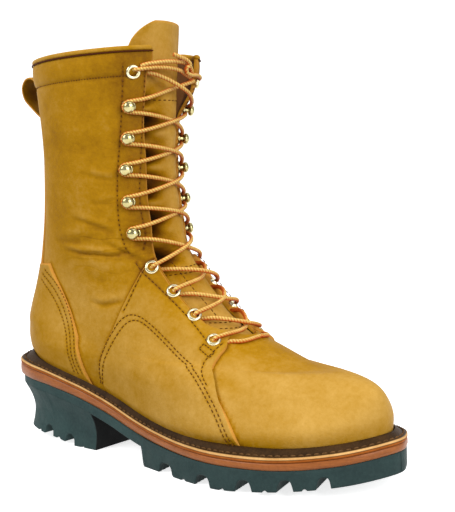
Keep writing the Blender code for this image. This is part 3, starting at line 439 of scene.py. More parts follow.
def sheet_faces(rows, columns):
    """Faces of a closed sheet: its outer grid, the inner grid stored after it, and the wall round both."""
    first = rows * columns
    index = np.arange(first).reshape(rows, columns)
    border = np.concatenate((index[0, :-1], index[:-1, -1], index[-1, :0:-1], index[:0:-1, 0]))
    following = np.roll(border, -1)
    walls = np.stack([border, first + border, first + following, following], axis=-1)
    return [grid_faces(rows, columns), grid_faces(rows, columns, first=first)[:, ::-1], walls]


print("a closed sheet of 3 by 4 points has", sum(len(faces) for faces in sheet_faces(3, 4)), "faces")

# %% [markdown]
# A finished piece has its points joined where they coincide, its faces turned outwards, its looks and its
# numbers. One function does this for all pieces, and rides each of them on the boot's only body.


# %% Finished pieces
def signed_volume(points, groups):
    """Volume inside a closed mesh by the divergence rule, each face cut into a fan."""
    total = 0.0
    for faces in groups:
        for k in range(1, faces.shape[1] - 1):
            a, b, c = points[faces[:, 0]], points[faces[:, k]], points[faces[:, k + 1]]
            total += float((a * np.cross(b, c)).sum()) / 6
    return total


def weld(points, groups):
    """Index of the kept point for each point, and the faces without corners that fall together."""
    _, first, index = np.unique(np.round(points / 1e-6), axis=0, return_index=True, return_inverse=True)
    index = index.reshape(-1)
    kept = []
    for faces in groups:
        faces = index[faces]
        same = faces == np.roll(faces, 1, axis=1)
        kept.append(faces[same.sum(axis=1) == 0])
        if faces.shape[1] == 4:
            once = same.sum(axis=1) == 1
            kept.append(faces[once][~same[once]].reshape(-1, 3))
    return first, [faces for faces in kept if len(faces)]


def piece(name, points, groups, looks, numbers=None, face_look=None, sharp=40, closed=True):
    """Mesh object in the row frame with smooth faces, sharp over the given angle in degrees."""
    points = points.reshape(-1, 3)
    groups = [np.asarray(faces) for faces in groups]
    first, groups = weld(points, groups)
    points = points[first]
    if closed and signed_volume(points - points.mean(axis=0), groups) < 0:
        groups = [faces[:, ::-1] for faces in groups]
    corners = np.concatenate([faces.ravel() for faces in groups])
    sizes = np.concatenate([np.full(len(faces), faces.shape[1]) for faces in groups])
    mesh = bpy.data.meshes.new(name)
    mesh.vertices.add(len(points))
    mesh.vertices.foreach_set("co", (points + SHIFT).astype(np.float32).ravel())
    mesh.loops.add(len(corners))
    mesh.loops.foreach_set("vertex_index", corners.astype(np.int32))
    mesh.polygons.add(len(sizes))
    mesh.polygons.foreach_set("loop_start", (np.cumsum(sizes) - sizes).astype(np.int32))
    mesh.update(calc_edges=True)
    for title, values in (numbers or {}).items():
        made = mesh.attributes.new(title, "FLOAT", "POINT")
        made.data.foreach_set("value", np.asarray(values, np.float32).reshape(-1)[first])
    mesh.shade_smooth()
    mesh.set_sharp_from_angle(angle=math.radians(sharp))
    for surface in looks:
        mesh.materials.append(surface)
    if face_look is not None:
        middle = np.add.reduceat(face_look.reshape(-1)[first][corners], np.cumsum(sizes) - sizes) / sizes
        mesh.polygons.foreach_set("material_index", (middle > 0.5).astype(np.int32))
    obj = bpy.data.objects.new(name, mesh)
    bpy.context.scene.collection.objects.link(obj)
    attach(obj, "root")
    print(name, int((sizes - 2).sum()), "triangles")
    return obj


# %% [markdown]
# Colours and bumps are sums and products of noise and of the numbers at the points. The class wraps a socket
# so that those sums can be written as plain arithmetic; any other node goes in by its type.


# %% Shader arithmetic
class Wire:
    """Socket of a shader that adds and multiplies like a number; make puts in any other node."""

    def __init__(self, tree, socket=None):
        self.tree, self.socket = tree, socket

    def make(self, kind, settings=None, inputs=None, out=0):
        node = self.tree.nodes.new(kind)
        for name, value in (settings or {}).items():
            setattr(node, name, value)
        for name, value in (inputs or {}).items():
            if isinstance(value, Wire):
                self.tree.links.new(value.socket, node.inputs[name])
            else:
                node.inputs[name].default_value = value
        return Wire(self.tree, node.outputs[out])

    def maths(self, operation, first, second=0.0):
        return self.make("ShaderNodeMath", {"operation": operation}, {0: first, 1: second})

    def __add__(self, other):
        return self.maths("ADD", self, other)

    def __radd__(self, other):
        return self.maths("ADD", other, self)

    def __sub__(self, other):
        return self.maths("SUBTRACT", self, other)

    def __rsub__(self, other):
        return self.maths("SUBTRACT", other, self)

    def __mul__(self, other):
        return self.maths("MULTIPLY", self, other)

    def __rmul__(self, other):
        return self.maths("MULTIPLY", other, self)

    def sine(self):
        return self.maths("SINE", self)

    def clamped(self):
        return self.make("ShaderNodeClamp", None, {0: self})

    def mixed(self, low, high):
        """Colour between low and high by this share."""
        settings = {"data_type": "RGBA", "clamp_factor": True}
        return self.make("ShaderNodeMix", settings, {0: self, 6: low, 7: high}, 2)

    def noise(self, scale, detail=2.0, rough=0.5, tall=1.0):
        """Noise over the piece's own coordinates, about nothing; a high tall draws it out level."""
        where = self.make("ShaderNodeTexCoord", None, None, "Object")
        drawn = self.make("ShaderNodeVectorMath", {"operation": "MULTIPLY"}, {0: where, 1: (1, 1, tall)})
        values = {"Vector": drawn, "Scale": scale, "Detail": detail, "Roughness": rough}
        return self.make("ShaderNodeTexNoise", None, values, 0) - 0.5

    def creases(self, scale, tall):
        """Thin wandering lines where a noise, drawn out along level lines, passes through its middle."""
        return (1 - 14 * self.maths("ABSOLUTE", self.noise(scale, 1.5, 0.4, tall))).clamped()

    def cells(self, scale):
        """Distance from the nearest of scattered points, over the piece's own coordinates."""
        where = self.make("ShaderNodeTexCoord", None, None, "Object")
        return self.make("ShaderNodeTexVoronoi", None, {"Vector": where, "Scale": scale}, "Distance")

    def number(self, name):
        """Number that a piece carries at its points; nothing where it has none."""
        return self.make("ShaderNodeAttribute", {"attribute_name": name}, None, "Fac")

    def bumped(self, height, deep, strength=1.0):
        """Normal of a surface raised by height times deep metres."""
        return self.make("ShaderNodeBump", None, {"Strength": strength, "Distance": deep, "Height": height})


print("a wire can", ", ".join(name for name in vars(Wire) if not name.startswith("_")))

# %% [markdown]
# A colour is given by its three screen values and turned into linear light, in which the shader works. A look
# starts as the plain shader with a few constants, and wires are then fed into its inputs.


# %% Colours and plain looks
def colour(red, green, blue):
    """Linear colour from the 0 to 255 values of a screen."""
    share = np.array((red, green, blue)) / 255
    linear = np.where(share <= 0.04045, share / 12.92, ((share + 0.055) / 1.055) ** 2.4)
    return (*linear.tolist(), 1.0)


def look(name, **constants):
    """New surface with its constants set; returns it, its shader and a wire into its tree."""
    made = bpy.data.materials.new(name)
    made.use_nodes = True
    shader = made.node_tree.nodes["Principled BSDF"]
    for title, value in constants.items():
        shader.inputs[title.replace("_", " ").title().replace("Ior", "IOR")].default_value = value
    return made, shader, Wire(made.node_tree)


def feed(shader, name, wire):
    """Joins a wire to an input of the shader."""
    wire.tree.links.new(wire.socket, shader.inputs[name])


print("half bright on a screen is", round(colour(128, 128, 128)[0], 3), "in linear light")


# %% [markdown]
# The upper is oiled tan leather with a fine nap. Its colour wanders between wheat and brown, takes painted
# shade in folds and along seams and painted light and shade by place, and shows a paler, more orange cut
# edge. The numbers "shade" and "edge" carry that.


# %% Leather looks
# darkest painted shadow, reached where "shade" falls far below nothing, as in the gaps beside the tongue
HOLLOW_SHADE = colour(46, 24, 2)
TAN_DARK, TAN, TAN_PALE = colour(110, 64, 0), colour(172, 123, 4), colour(206, 162, 80)
# lining: a redder brown leather, darkened with painted shade for the inside of the shaft
LINING_TONES = colour(74, 38, 12), colour(108, 66, 28), colour(132, 90, 46)
INSOLE_TONES = colour(112, 78, 40), colour(150, 112, 66), colour(176, 138, 90)


def leather(name, dark, plain, pale, edge):
    """Napped hide: its tone wanders and takes the painted light and shade in "shade"; it is edge where "edge"
    is 1.
    """
    made, shader, wire = look(name, specular_ior_level=0.08)
    broad, mottle, fine = wire.noise(11, 3), wire.noise(55, 4, 0.6), wire.noise(420, 3, 0.6)
    # fine creases darken the tone as painted shade and dent the bump
    crease = wire.number("wrinkle") * wire.creases(38, 4)
    tone = 0.5 + 0.5 * broad + 0.4 * mottle + 0.25 * wire.noise(170, 3) + 0.3 * fine - 0.12 * crease
    tone = tone + wire.number("shade")
    low = (tone * 2).clamped().mixed(dark, plain)
    ground = (tone * 2 - 1).clamped().mixed(low, pale)
    ground = (tone * -1.5).clamped().mixed(ground, HOLLOW_SHADE)
    feed(shader, "Base Color", wire.number("edge").clamped().mixed(ground, edge))
    feed(shader, "Roughness", (0.60 - 0.35 * broad + 0.30 * fine).clamped())
    height = 0.5 * wire.cells(900) + fine + 0.8 * wire.noise(1500, 2) - 1.1 * crease
    feed(shader, "Normal", wire.bumped(height, 0.00022, 0.8))
    return made


tan_leather = leather("tan_leather", TAN_DARK, TAN, TAN_PALE, colour(212, 150, 62))
lining_leather = leather("lining_leather", *LINING_TONES, TAN)
inner_leather = leather("insole_leather", *INSOLE_TONES, TAN)


print("leather of upper, lining and insole made")

# %% [markdown]
# Welt and midsole are leather seen at its cut edge: the welt's slope is waxed dark and its rim is natural,
# and the midsole is stained brown. The sole is matt dark rubber, with painted shade under it and on the
# heel's breast.


# %% Looks of the sole
def welt_look():
    """Waxed strip: black-brown slope, natural leather where "edge" is 1, stained where "stain" is."""
    made, shader, wire = look("welt_leather", roughness=0.55, specular_ior_level=0.08)
    tone = 0.5 + 1.1 * wire.noise(90, 4) + 0.6 * wire.noise(700, 2)
    slope = tone.clamped().mixed(colour(30, 18, 6), colour(78, 54, 28))
    rim = tone.clamped().mixed(colour(206, 146, 78), colour(244, 198, 132))
    stained = tone.clamped().mixed(colour(140, 70, 18), colour(188, 106, 40))
    under = wire.number("stain").clamped().mixed(slope, stained)
    feed(shader, "Base Color", wire.number("edge").clamped().mixed(under, rim))
    feed(shader, "Normal", wire.bumped(wire.noise(900, 3), 0.0003, 0.7))
    return made


def edge_look():
    """Trimmed and stained layer of sole leather, streaked along its edge, darker where "shade" rises."""
    made, shader, wire = look("midsole_leather", roughness=0.42, specular_ior_level=0.3)
    tone = 0.5 + 0.8 * wire.noise(60, 4) + 0.5 * wire.noise(500, 2) + 0.9 * wire.noise(70, 3, 0.6, 14)
    ground = tone.clamped().mixed(colour(122, 64, 20), colour(182, 106, 46))
    feed(shader, "Base Color", wire.number("shade").clamped().mixed(ground, colour(84, 40, 12)))
    feed(shader, "Normal", wire.bumped(wire.noise(900, 3), 0.0002, 0.6))
    return made


def rubber_look():
    """Blue-black moulded rubber with a dull, finely pebbled skin; painted shade darkens it where "shade"
    rises.
    """
    made, shader, wire = look("sole_rubber", specular_ior_level=0.2)
    tone = 0.5 + 0.8 * wire.noise(40, 4) + 0.5 * wire.noise(500, 2)
    ground = tone.clamped().mixed(colour(27, 44, 45), colour(58, 82, 80))
    feed(shader, "Base Color", wire.number("shade").clamped().mixed(ground, colour(4, 7, 7)))
    feed(shader, "Roughness", (0.68 + 0.3 * wire.noise(120, 3)).clamped())
    feed(shader, "Normal", wire.bumped(wire.noise(1100, 3), 0.0003, 0.6))
    return made


welt_leather, midsole_leather, sole_rubber = welt_look(), edge_look(), rubber_look()
print("welt, midsole and rubber made")

# %% [markdown]
# Brass, thread and lace are small, so their looks need little: polished metal with duller spots, thread in
# two tones, and a round braid whose pattern follows the cord's own run and turn.


# %% Looks of brass, thread and lace
def metal_look(name, plain, worn, rough):
    """Polished metal with worn, duller spots."""
    made, shader, wire = look(name, metallic=1.0)
    feed(shader, "Base Color", (0.5 + 1.2 * wire.noise(160, 3)).clamped().mixed(plain, worn))
    feed(shader, "Roughness", (rough + 0.25 * wire.noise(300, 3)).clamped())
    return made


def thread_look(name, dark, pale):
    """Waxed thread, twisted along the stitch."""
    made, shader, wire = look(name, roughness=0.7, specular_ior_level=0.1)
    feed(shader, "Base Color", (0.5 + 1.4 * wire.noise(500, 2)).clamped().mixed(dark, pale))
    feed(shader, "Normal", wire.bumped(wire.noise(2200, 2), 0.0002, 0.6))
    return made


def lace_look():
    """Round braid wound both ways along "run": a cream painted highlight on its crown, orange flanks, dark
    between.
    """
    made, shader, wire = look("lace_weave", roughness=0.7, specular_ior_level=0.3)
    run, crown, flank = wire.number("run") * 3300, wire.number("crown"), wire.number("flank")
    even, odd = flank * flank - crown * crown, 2 * crown * flank
    first = run.sine() * even + (run + math.pi / 2).sine() * odd
    second = run.sine() * even - (run + math.pi / 2).sine() * odd
    # cream: the braid's stripes, and a painted highlight where the crown faces out
    pale = (1.05 * crown + 0.32 * first + 0.5 * wire.noise(300, 3) - 0.35).clamped()
    ground = pale.mixed(colour(204, 94, 4), colour(255, 226, 124))
    check = (4 * first * second - 3).clamped()
    feed(shader, "Base Color", (0.55 * check).mixed(ground, colour(132, 54, 8)))
    feed(shader, "Normal", wire.bumped(first * second, 0.0004, 0.8))
    return made


pale_brass = metal_look("pale_brass", colour(232, 226, 196), colour(196, 184, 132), 0.24)
hook_brass = metal_look("hook_brass", colour(196, 188, 146), colour(160, 148, 88), 0.24)
brown_thread = thread_look("brown_thread", colour(64, 34, 4), colour(116, 72, 20))
welt_thread = thread_look("welt_thread", colour(62, 40, 20), colour(124, 90, 54))
lace_weave = lace_look()
piping_red, _, _ = look("piping_red", base_color=colour(74, 32, 6), roughness=0.7, specular_ior_level=0.1)
# a painted shadow that closes the bottom of each eyelet's hole
hole_shadow, _, _ = look("hole_shadow", base_color=colour(26, 16, 10), roughness=0.9)
print(len(bpy.data.materials), "looks made")

# %% [markdown]
# The floor is a white paper sweep that runs up behind the boot, as in a small product studio. Soft lamps
# hang to the camera's left, above and far right, so that the toe's top is bright and the front of the shaft
# falls off.


# %% Studio
def sweep(name):
    """White sheet: level floor, a quarter turn behind the boot, then a wall."""
    turn = np.linspace(0, np.pi / 2, 13)
    away = np.concatenate([[-3.0], 1.6 + 1.2 * np.sin(turn), [2.8]])
    height = np.concatenate([[0.0], 1.2 - 1.2 * np.cos(turn), [4.0]])
    back = np.array((-math.sin(CAMERA_TURN), math.cos(CAMERA_TURN), 0))
    side = np.array((math.cos(CAMERA_TURN), math.sin(CAMERA_TURN), 0))
    wide = np.linspace(-4, 4, 3)
    points = away[:, None, None] * back + wide[None, :, None] * side
    points = points + height[:, None, None] * np.array((0, 0, 1.0)) - (0, 0, 0.0002)
    made, shader, _ = look("white_paper", roughness=0.9, emission_strength=0.75)
    shader.inputs["Base Color"].default_value = (0.86, 0.86, 0.86, 1)
    shader.inputs["Emission Color"].default_value = (1, 1, 1, 1)
    mesh = bpy.data.meshes.new(name)
    mesh.from_pydata(points.reshape(-1, 3).tolist(), [], grid_faces(len(away), 3).tolist())
    mesh.shade_smooth()
    mesh.materials.append(made)
    obj = bpy.data.objects.new(name, mesh)
    bpy.context.scene.collection.objects.link(obj)
    obj.visible_diffuse = False  # the paper throws no light up under the sole


def lamp(name, place, aim, wide, power):
    """Square soft lamp at a place, turned to its aim."""
    light = bpy.data.lights.new(name, "AREA")
    light.size, light.energy = wide, power
    obj = bpy.data.objects.new(name, light)
    back = unit(np.array(place, float) - np.array(aim, float))
    side = unit(np.cross((0, 0, 1), back))
    turned = np.eye(4)
    turned[:3, :3] = np.column_stack([side, np.cross(back, side), back])
    turned[:3, 3] = place
    obj.matrix_world = Matrix(turned.tolist())
    bpy.context.scene.collection.objects.link(obj)


sweep("paper_sweep")
lamp("left_lamp", (-0.75, -1.5, 1.3), (0, 0, 0.12), 1.1, 24)
lamp("top_lamp", (0.35, 0.1, 1.7), (0.05, 0, 0.1), 1.2, 7.5)
lamp("right_lamp", (1.6, -0.5, 0.75), (0.05, 0, 0.1), 1.0, 20)
world = bpy.data.worlds.new("studio")
world.use_nodes = True
world.node_tree.nodes["Background"].inputs["Color"].default_value = (1, 1, 1, 1)
world.node_tree.nodes["Background"].inputs["Strength"].default_value = 0.42
bpy.context.scene.world = world
bpy.context.scene.view_settings.view_transform = "Standard"
print("sweep and three lamps stand")

# %% [markdown]
# The lines of the seams were read off the side view, as distance from the heel and height in millimetres.
# They come before the leather because thread pulls it down into a shallow trough with painted shade.

# %% Seam lines
ARROW_OUTER = (
    (100.1, 48.3), (101.5, 58), (103.4, 65.2), (106.8, 72.1), (110.9, 77.9), (114.8, 84.1),
    (118.7, 89.3), (121.7, 94), (124.9, 97.3), (128.9, 98.3), (133.1, 97.7), (137.3, 95.9),
    (143.4, 93.1), (149.8, 89.2), (158.6, 83.5), (166.1, 78.2), (172.5, 73.9), (179, 69.8),
    (186, 66.2), (192.5, 62.4), (199.1, 57.8), (205, 52.3), (210.7, 45.7), (216.2, 38.6),
    (220.7, 31.3), (223.6, 26.3),
)  # fmt: skip
ARROW_INNER = (
    (101.9, 47.9), (104.4, 56.7), (107.8, 65.4), (112.6, 73.1), (117.4, 79.6), (122, 86.4),
    (125.7, 91.5), (129.4, 94.6), (133.3, 95), (137.6, 93.4), (144.4, 89.4), (153.5, 84),
    (162.1, 78.2), (168.1, 74), (174.4, 70.1), (182.2, 66.1), (190.3, 61.5), (197, 56.8),
    (202.6, 51.3), (208.2, 44.9), (213.4, 38.4), (217.8, 31.9), (220.8, 25.5),
)  # fmt: skip
EYESTAY_LINE = (
    (128.7, 130.7), (133.2, 125.1), (140.9, 118.9), (148.9, 112.4), (156.3, 106.4), (165.2, 99.2),
    (173.6, 92.2), (182.5, 85.2), (187.2, 81.5),
)  # fmt: skip
SADDLE_BACK_SEAM = ((134.8, 126.5), (133.1, 121.1), (129.7, 112.8), (126.5, 105.2), (123, 98.3))
THROAT_SEAM = (
    (143.8, 133), (148.6, 128), (154.3, 121.7), (160.5, 115.2), (166.2, 109.6), (172.6, 103.6),
    (178.5, 98.2), (184, 93.4),
)  # fmt: skip
TIP_SEAM = (
    (195.5, 80.7), (194.3, 77.7), (192.1, 73.9), (190, 70.2), (191.3, 66.7), (194.4, 63), (198.3, 59.8),
    (200.3, 58.4),
)  # fmt: skip
BOX_SEAM = ((184.2, 78.1), (185.7, 80.7), (194.5, 76), (192.7, 73.2), (184.2, 78.1))
COUNTER_SEAMS = (
    (
        (48.1, 123.7), (59.5, 115.5), (66.2, 107.3), (71.2, 99), (75.2, 89.5), (78, 79.5), (79.8, 69.5),
        (81, 60), (83.5, 53),
    ),
    (
        (44.9, 120.5), (56, 112.5), (63, 104), (68.2, 95.5), (72.3, 86), (75.2, 76.3), (76.8, 66.2),
        (77.8, 57), (79.3, 52.5),
    ),
    (
        (43.1, 116.5), (52.5, 108.8), (59.8, 100.8), (65, 92.8), (69.2, 84.5), (72.2, 75.5), (73.7, 66),
        (74.8, 58), (75.6, 53.5),
    ),
)  # fmt: skip
COLLAR_SEAM_LEVEL = 0.952
SEAM_POINTS = 160
FACING_SEAM = (
    (127.6, 261), (127.2, 256), (125.7, 244.2), (124.5, 234.5), (123.2, 224.7), (121.6, 211.7),
    (119.8, 198.9), (118.3, 185.9), (117.5, 172.7), (117.7, 159.1), (118.6, 149.3), (120.6, 142.4),
    (123.7, 136.2),
)  # fmt: skip
FACING_EDGE_SEAM = (
    (136.6, 261), (136.2, 256), (134.9, 247.3), (133.9, 237.7), (132.2, 224.4), (131, 211.5),
    (130.1, 198.2), (129.2, 185.4), (128.9, 172.4), (130, 162.4), (131.6, 154.1), (132.8, 148.5),
    (132.9, 142.8), (132, 138.5),
)  # fmt: skip
SADDLE_SEAMS = (ARROW_OUTER, ARROW_INNER, EYESTAY_LINE, SADDLE_BACK_SEAM, THROAT_SEAM, TIP_SEAM)
FACING_SEAMS = (FACING_SEAM, FACING_EDGE_SEAM)


print(len(SADDLE_SEAMS + COUNTER_SEAMS + FACING_SEAMS), "lines read for each side")

# %% [markdown]
# A seam lies on the leather, so its side-view points are turned into places (u, v) there and smoothed along
# the line. The inner side gets the same lines by the same search.


# %% Seams on the leather
def on_leather(line, inner=False, count=SEAM_POINTS, straight=False):
    """Shares and levels along a side-view line: smooth and averaged a little, or straight."""
    shares, places = np.linspace(0, 1, count), np.array(line)
    if straight:
        rows = np.column_stack([np.interp(shares, np.linspace(0, 1, len(line)), p) for p in places.T])
        return np.column_stack(locate(rows, inner))
    rows = evenly(places, shares)
    padded = np.concatenate([2 * rows[:1] - rows[9:0:-1], rows, 2 * rows[-1:] - rows[-2:-11:-1]])
    rows = np.column_stack([np.convolve(p, np.full(19, 1 / 19), "valid") for p in padded.T])
    return np.column_stack(locate(rows, inner))


def seam_rows():
    """Every seam of both sides as rows (u, v), by name of its group."""
    made = {"saddle": [], "box": [], "counter": [], "collar": [], "facing": []}
    for inner in (False, True):
        made["saddle"] += [on_leather(line, inner) for line in SADDLE_SEAMS]
        made["box"] += [on_leather(BOX_SEAM, inner, straight=True)]
        made["counter"] += [on_leather(line, inner) for line in COUNTER_SEAMS]
        turn = np.linspace(0.075, 0.5, SEAM_POINTS)
        level = np.full(SEAM_POINTS, COLLAR_SEAM_LEVEL)
        made["collar"] += [np.column_stack([1 - turn if inner else turn, level])]
        made["facing"] += [on_leather(line, inner) for line in FACING_SEAMS]
    return made


SEAMS = seam_rows()
SEAM_PATHS = [upper_point(*rows[::2].T) for group in SEAMS.values() for rows in group]
print(len(SEAM_PATHS), "seams drawn")

# %% [markdown]
# Worn leather folds where the ankle bends, and pulls where the lace draws it. Each fold is a line over the
# side view with a depth and a width: a soft trough along the line, and a low ridge on its upper side. The
# fold over the ankle is the deepest; the shaft sinks over it. The collar is padded, so it swells under its
# binding.

# %% Folds of the leather
FOLDS = (
    # depth, width and ridge in mm, on the inner side too, line over the side view (along, height)
    (
        1.5, 1.5, 1.4, True,
        ((70, 139), (79, 137.4), (88.3, 135.9), (100.5, 135.4), (112.5, 134.9), (118.9, 136.7), (125, 138.6)),
    ),
    (1.0, 1.5, 0.8, True, ((107, 143.2), (112.3, 141), (118.9, 138.1), (127.2, 134), (136.7, 130.7))),
    (1.1, 1.7, 0.8, True, ((93, 103.5), (103, 101.4), (110, 102.4), (117, 104), (123, 105.5))),
    (
        0.8, 1.6, 0.7, True,
        ((83, 160.6), (91.7, 158), (99.5, 155.3), (105, 153.7), (110.9, 151.4), (117, 150.4)),
    ),
    (0.6, 1.5, 0.6, False, ((95, 190), (100.7, 188.6), (107.2, 187), (113.6, 186.2), (120, 188.4))),
    (0.7, 2.6, 0.7, True, ((62, 146), (74, 143.6), (88, 145), (101, 148))),
    (0.5, 1.8, 0.5, False, ((98, 171), (106, 169.5), (113, 170.4), (119, 173))),
    (0.4, 5.0, 0.5, False, ((72, 214), (86, 208), (100, 207), (112, 211))),
    (0.5, 4.5, 0.5, True, ((86, 122), (98, 118), (108, 119), (118, 123))),
    (0.5, 6.0, 0.4, True, ((196, 60), (206, 62), (218, 60), (228, 54))),
    (0.4, 6.0, 0.4, False, ((150, 72), (166, 62), (182, 54), (196, 44))),
)
COLLAR_SWELL = 1.3 * MM
COLLAR_TOP = 1.0163  # the leather ends here, under its binding
FLAP_REACH = 7 * MM  # the inner corner of the collar bends outwards by this
FLAP_DROOP = 0.5  # and sinks by this share of it


def fold_lines():
    """Each fold as points on the leather, with its sizes in metres; a fold on both sides comes twice."""
    made = []
    for deep, wide, ridge, both, line in FOLDS:
        for inner in (False, True) if both else (False,):
            u, v = locate(line, inner)
            path = evenly(upper_point(u, v), np.linspace(0, 1, 40))
            made.append((deep * MM, wide * MM, ridge * MM, path))
    return made


FOLD_LINES = fold_lines()


def near(points, path, reach):
    """Distance of each point from a path, negative below it, and share along it; infinite past reach."""
    flat = points.reshape(-1, 3)
    off, share = np.full(len(flat), np.inf), np.zeros(len(flat))
    inside = ((flat > path.min(axis=0) - reach) & (flat < path.max(axis=0) + reach)).all(axis=1)
    inside = np.flatnonzero(inside)
    if len(inside):
        gap = (flat[inside, None] - path[None]).astype(np.float32)
        far = np.linalg.norm(gap, axis=2)
        nearest = far.argmin(axis=1)
        row = np.arange(len(inside))
        off[inside] = far[row, nearest] * np.where(gap[row, nearest, 2] < 0, -1, 1)
        share[inside] = nearest / (len(path) - 1)
    return off.reshape(points.shape[:-1]), share.reshape(points.shape[:-1])


print(len(FOLD_LINES), "folds laid")

# %% [markdown]
# The worn surface is the smooth one plus a height: folds, pressed seams, the swollen collar and the bent
# edges of the throat. Later pieces that sit on the leather ask the same function, so none floats or sinks.


# %% Height of the worn leather
def flap(u, v):
    """Reach of the inner corner of the collar, which bends outwards beside the tongue."""
    side = 1 - np.mod(u, 1.0)
    return FLAP_REACH * eased(0.16, 0.075, side) * eased(0.83, 0.95, v) * (side < 0.5)


def inner_lip(u, v):
    """Height of the inner throat edge, which curls up beside the lower lace."""
    side = 1 - np.mod(u, 1.0)
    away = (side - throat_half(v)) * loop_speed(u, v)
    return 2.6 * MM * eased(9 * MM, 2 * MM, away) * eased(0.30, 0.34, v) * eased(0.50, 0.46, v) * (side < 0.5)


def fold_relief(points):
    """Height of the folds: a trough along each line and a ridge on its upper side, fading to both ends."""
    total = np.zeros(points.shape[:-1])
    for deep, wide, ridge, path in FOLD_LINES:
        over, share = near(points, path, 6 * wide)
        taper = np.sin(np.pi * np.clip(share, 0.02, 0.98)) ** 0.7
        crest = ridge * np.exp(-(((over - 2.4 * wide) / (1.5 * wide)) ** 2))
        total += taper * (crest - deep * np.exp(-((over / wide) ** 2)))
    return total


def seam_press(points):
    """How near a place is to thread: 1 on a seam and nothing two millimetres away."""
    total = np.zeros(points.shape[:-1])
    for path in SEAM_PATHS:
        total = np.maximum(total, np.exp(-((near(points, path, 4 * MM)[0] / (0.95 * MM)) ** 2)))
    return total


def relief(u, v, points):
    """Height of the worn leather over its smooth form: folds, seams, swollen collar, bent edges."""
    band = np.clip((v - COLLAR_SEAM_LEVEL) / (COLLAR_TOP - COLLAR_SEAM_LEVEL), 0, 1)
    press = 0.4 * MM * np.exp(-(((v - COLLAR_SEAM_LEVEL) * 220) ** 2))
    swell = COLLAR_SWELL * np.sin(np.pi * band) ** 0.6 - press
    return fold_relief(points) - 0.22 * MM * seam_press(points) + swell + flap(u, v) + inner_lip(u, v)


def skin(u, v, out=0.0):
    """Point at a height over the worn leather, with the droop of the bent corner taken off."""
    points = upper_point(u, v)
    droop = FLAP_DROOP * flap(u, v)[..., None] * (0, 0, 1)
    return points + (out + relief(u, v, points))[..., None] * upper_normal(u, v) - droop


print("the inner collar corner bends out by", round(1000 * float(flap(0.95, 1.0)), 1), "mm")

# %% [markdown]
# Counter, back strip and saddles are sewn over the upper. Their outlines are drawn first, since the upper
# takes a painted shadow along their cut edges. Each shape is a grid of places between its edge lines.

# %% Shapes of the overlays
OVERLAY_FOOT = 0.008
COUNTER_ROWS, COUNTER_COLUMNS = 110, 220
STRIP_ROWS, STRIP_COLUMNS = 90, 50
SADDLE_ROWS, SADDLE_COLUMNS = 140, 160
COUNTER_EDGE = ((90, 49), (85, 56), (82, 70), (77, 86.5), (70, 100), (62, 113.5), (54, 128))
SADDLE_BACK = ((103, 46), (101, 57), (106, 71), (115, 87.5), (123, 105), (130, 118.5), (136, 130))
SADDLE_FRONT = (
    (228.2, 24.6), (223.8, 34), (219, 41), (213.2, 47.6), (207.5, 53.6), (201.9, 59.6), (198, 64),
    (196.7, 68.4), (198, 73.8), (198.8, 78),
)  # fmt: skip
SADDLE_TOP_LEVEL, SADDLE_TIP_LEVEL, SADDLE_TIP_END = 0.489, 0.283, 0.36
SADDLE_TIP_U, SADDLE_LIP = 0.056, 0.004
STRIP_HALF = (32 * MM, 24 * MM)
STRIP_TOP_LEVEL = 0.965


def counter_patch():
    """From edge to edge round the heel, up to the level where the back strip starts."""
    edge_u, edge_v = locate(COUNTER_EDGE)
    edge_v[0] = OVERLAY_FOOT
    v = (OVERLAY_FOOT + (edge_v[-1] - OVERLAY_FOOT) * crowded(COUNTER_ROWS, 0.6))[:, None]
    start = through(edge_v, edge_u, v)
    u = start + (1 - 2 * start) * crowded(COUNTER_COLUMNS, 0.6)[None]
    return u, np.repeat(v, 220, axis=1), edge_v[-1]


def strip_patch(foot):
    """Strip up the back of the shaft, narrowing to the pull loop."""
    v = (foot - 0.004 + (STRIP_TOP_LEVEL - foot + 0.004) * crowded(STRIP_ROWS))[:, None]
    half = STRIP_HALF[0] + (STRIP_HALF[1] - STRIP_HALF[0]) * (v - v[0]) / (v[-1] - v[0])
    u = 0.5 + half / loop_speed(0.5 + 0 * v, v) * (2 * crowded(STRIP_COLUMNS) - 1)[None]
    return u, np.repeat(v, 50, axis=1)


def saddle_top(v):
    """Share u of the saddle's edge along the throat; below the throat it widens to the tip."""
    corner = SADDLE_TIP_U * (1 - (v - SADDLE_TIP_LEVEL) / (SADDLE_TIP_END - SADDLE_TIP_LEVEL))
    return np.maximum(throat_half(v) + SADDLE_LIP, corner)


def patch_edge(line, end, shares):
    """Shares and levels along a smooth side-view line, from its start dropped to the foot, up to end."""
    foot = upper_point(locate(line[:1])[0], OVERLAY_FOOT)[:, ::2] / MM
    last = upper_point(end[:1], end[1:])[:, ::2] / MM
    return np.column_stack(locate(evenly(np.concatenate([foot, line[1:], last]), shares)))


def saddle_patch():
    """Instep patch blended from four edge lines in u and v: foot, front, throat and back."""
    rows, columns = crowded(SADDLE_ROWS, 0.6), crowded(SADDLE_COLUMNS, 0.6)
    top_v = SADDLE_TIP_LEVEL + (SADDLE_TOP_LEVEL - SADDLE_TIP_LEVEL) * columns
    top = np.column_stack([saddle_top(top_v), top_v])
    back, front = patch_edge(SADDLE_BACK, top[-1], rows), patch_edge(SADDLE_FRONT, top[0], rows)
    foot = front[0] + (back[0] - front[0]) * columns[:, None]
    s, r = columns[None, :, None], rows[:, None, None]
    ruled = (1 - s) * front[:, None] + s * back[:, None] + (1 - r) * foot[None] + r * top[None]
    twice = (1 - r) * ((1 - s) * front[0] + s * back[0]) + r * ((1 - s) * front[-1] + s * back[-1])
    return ruled - twice


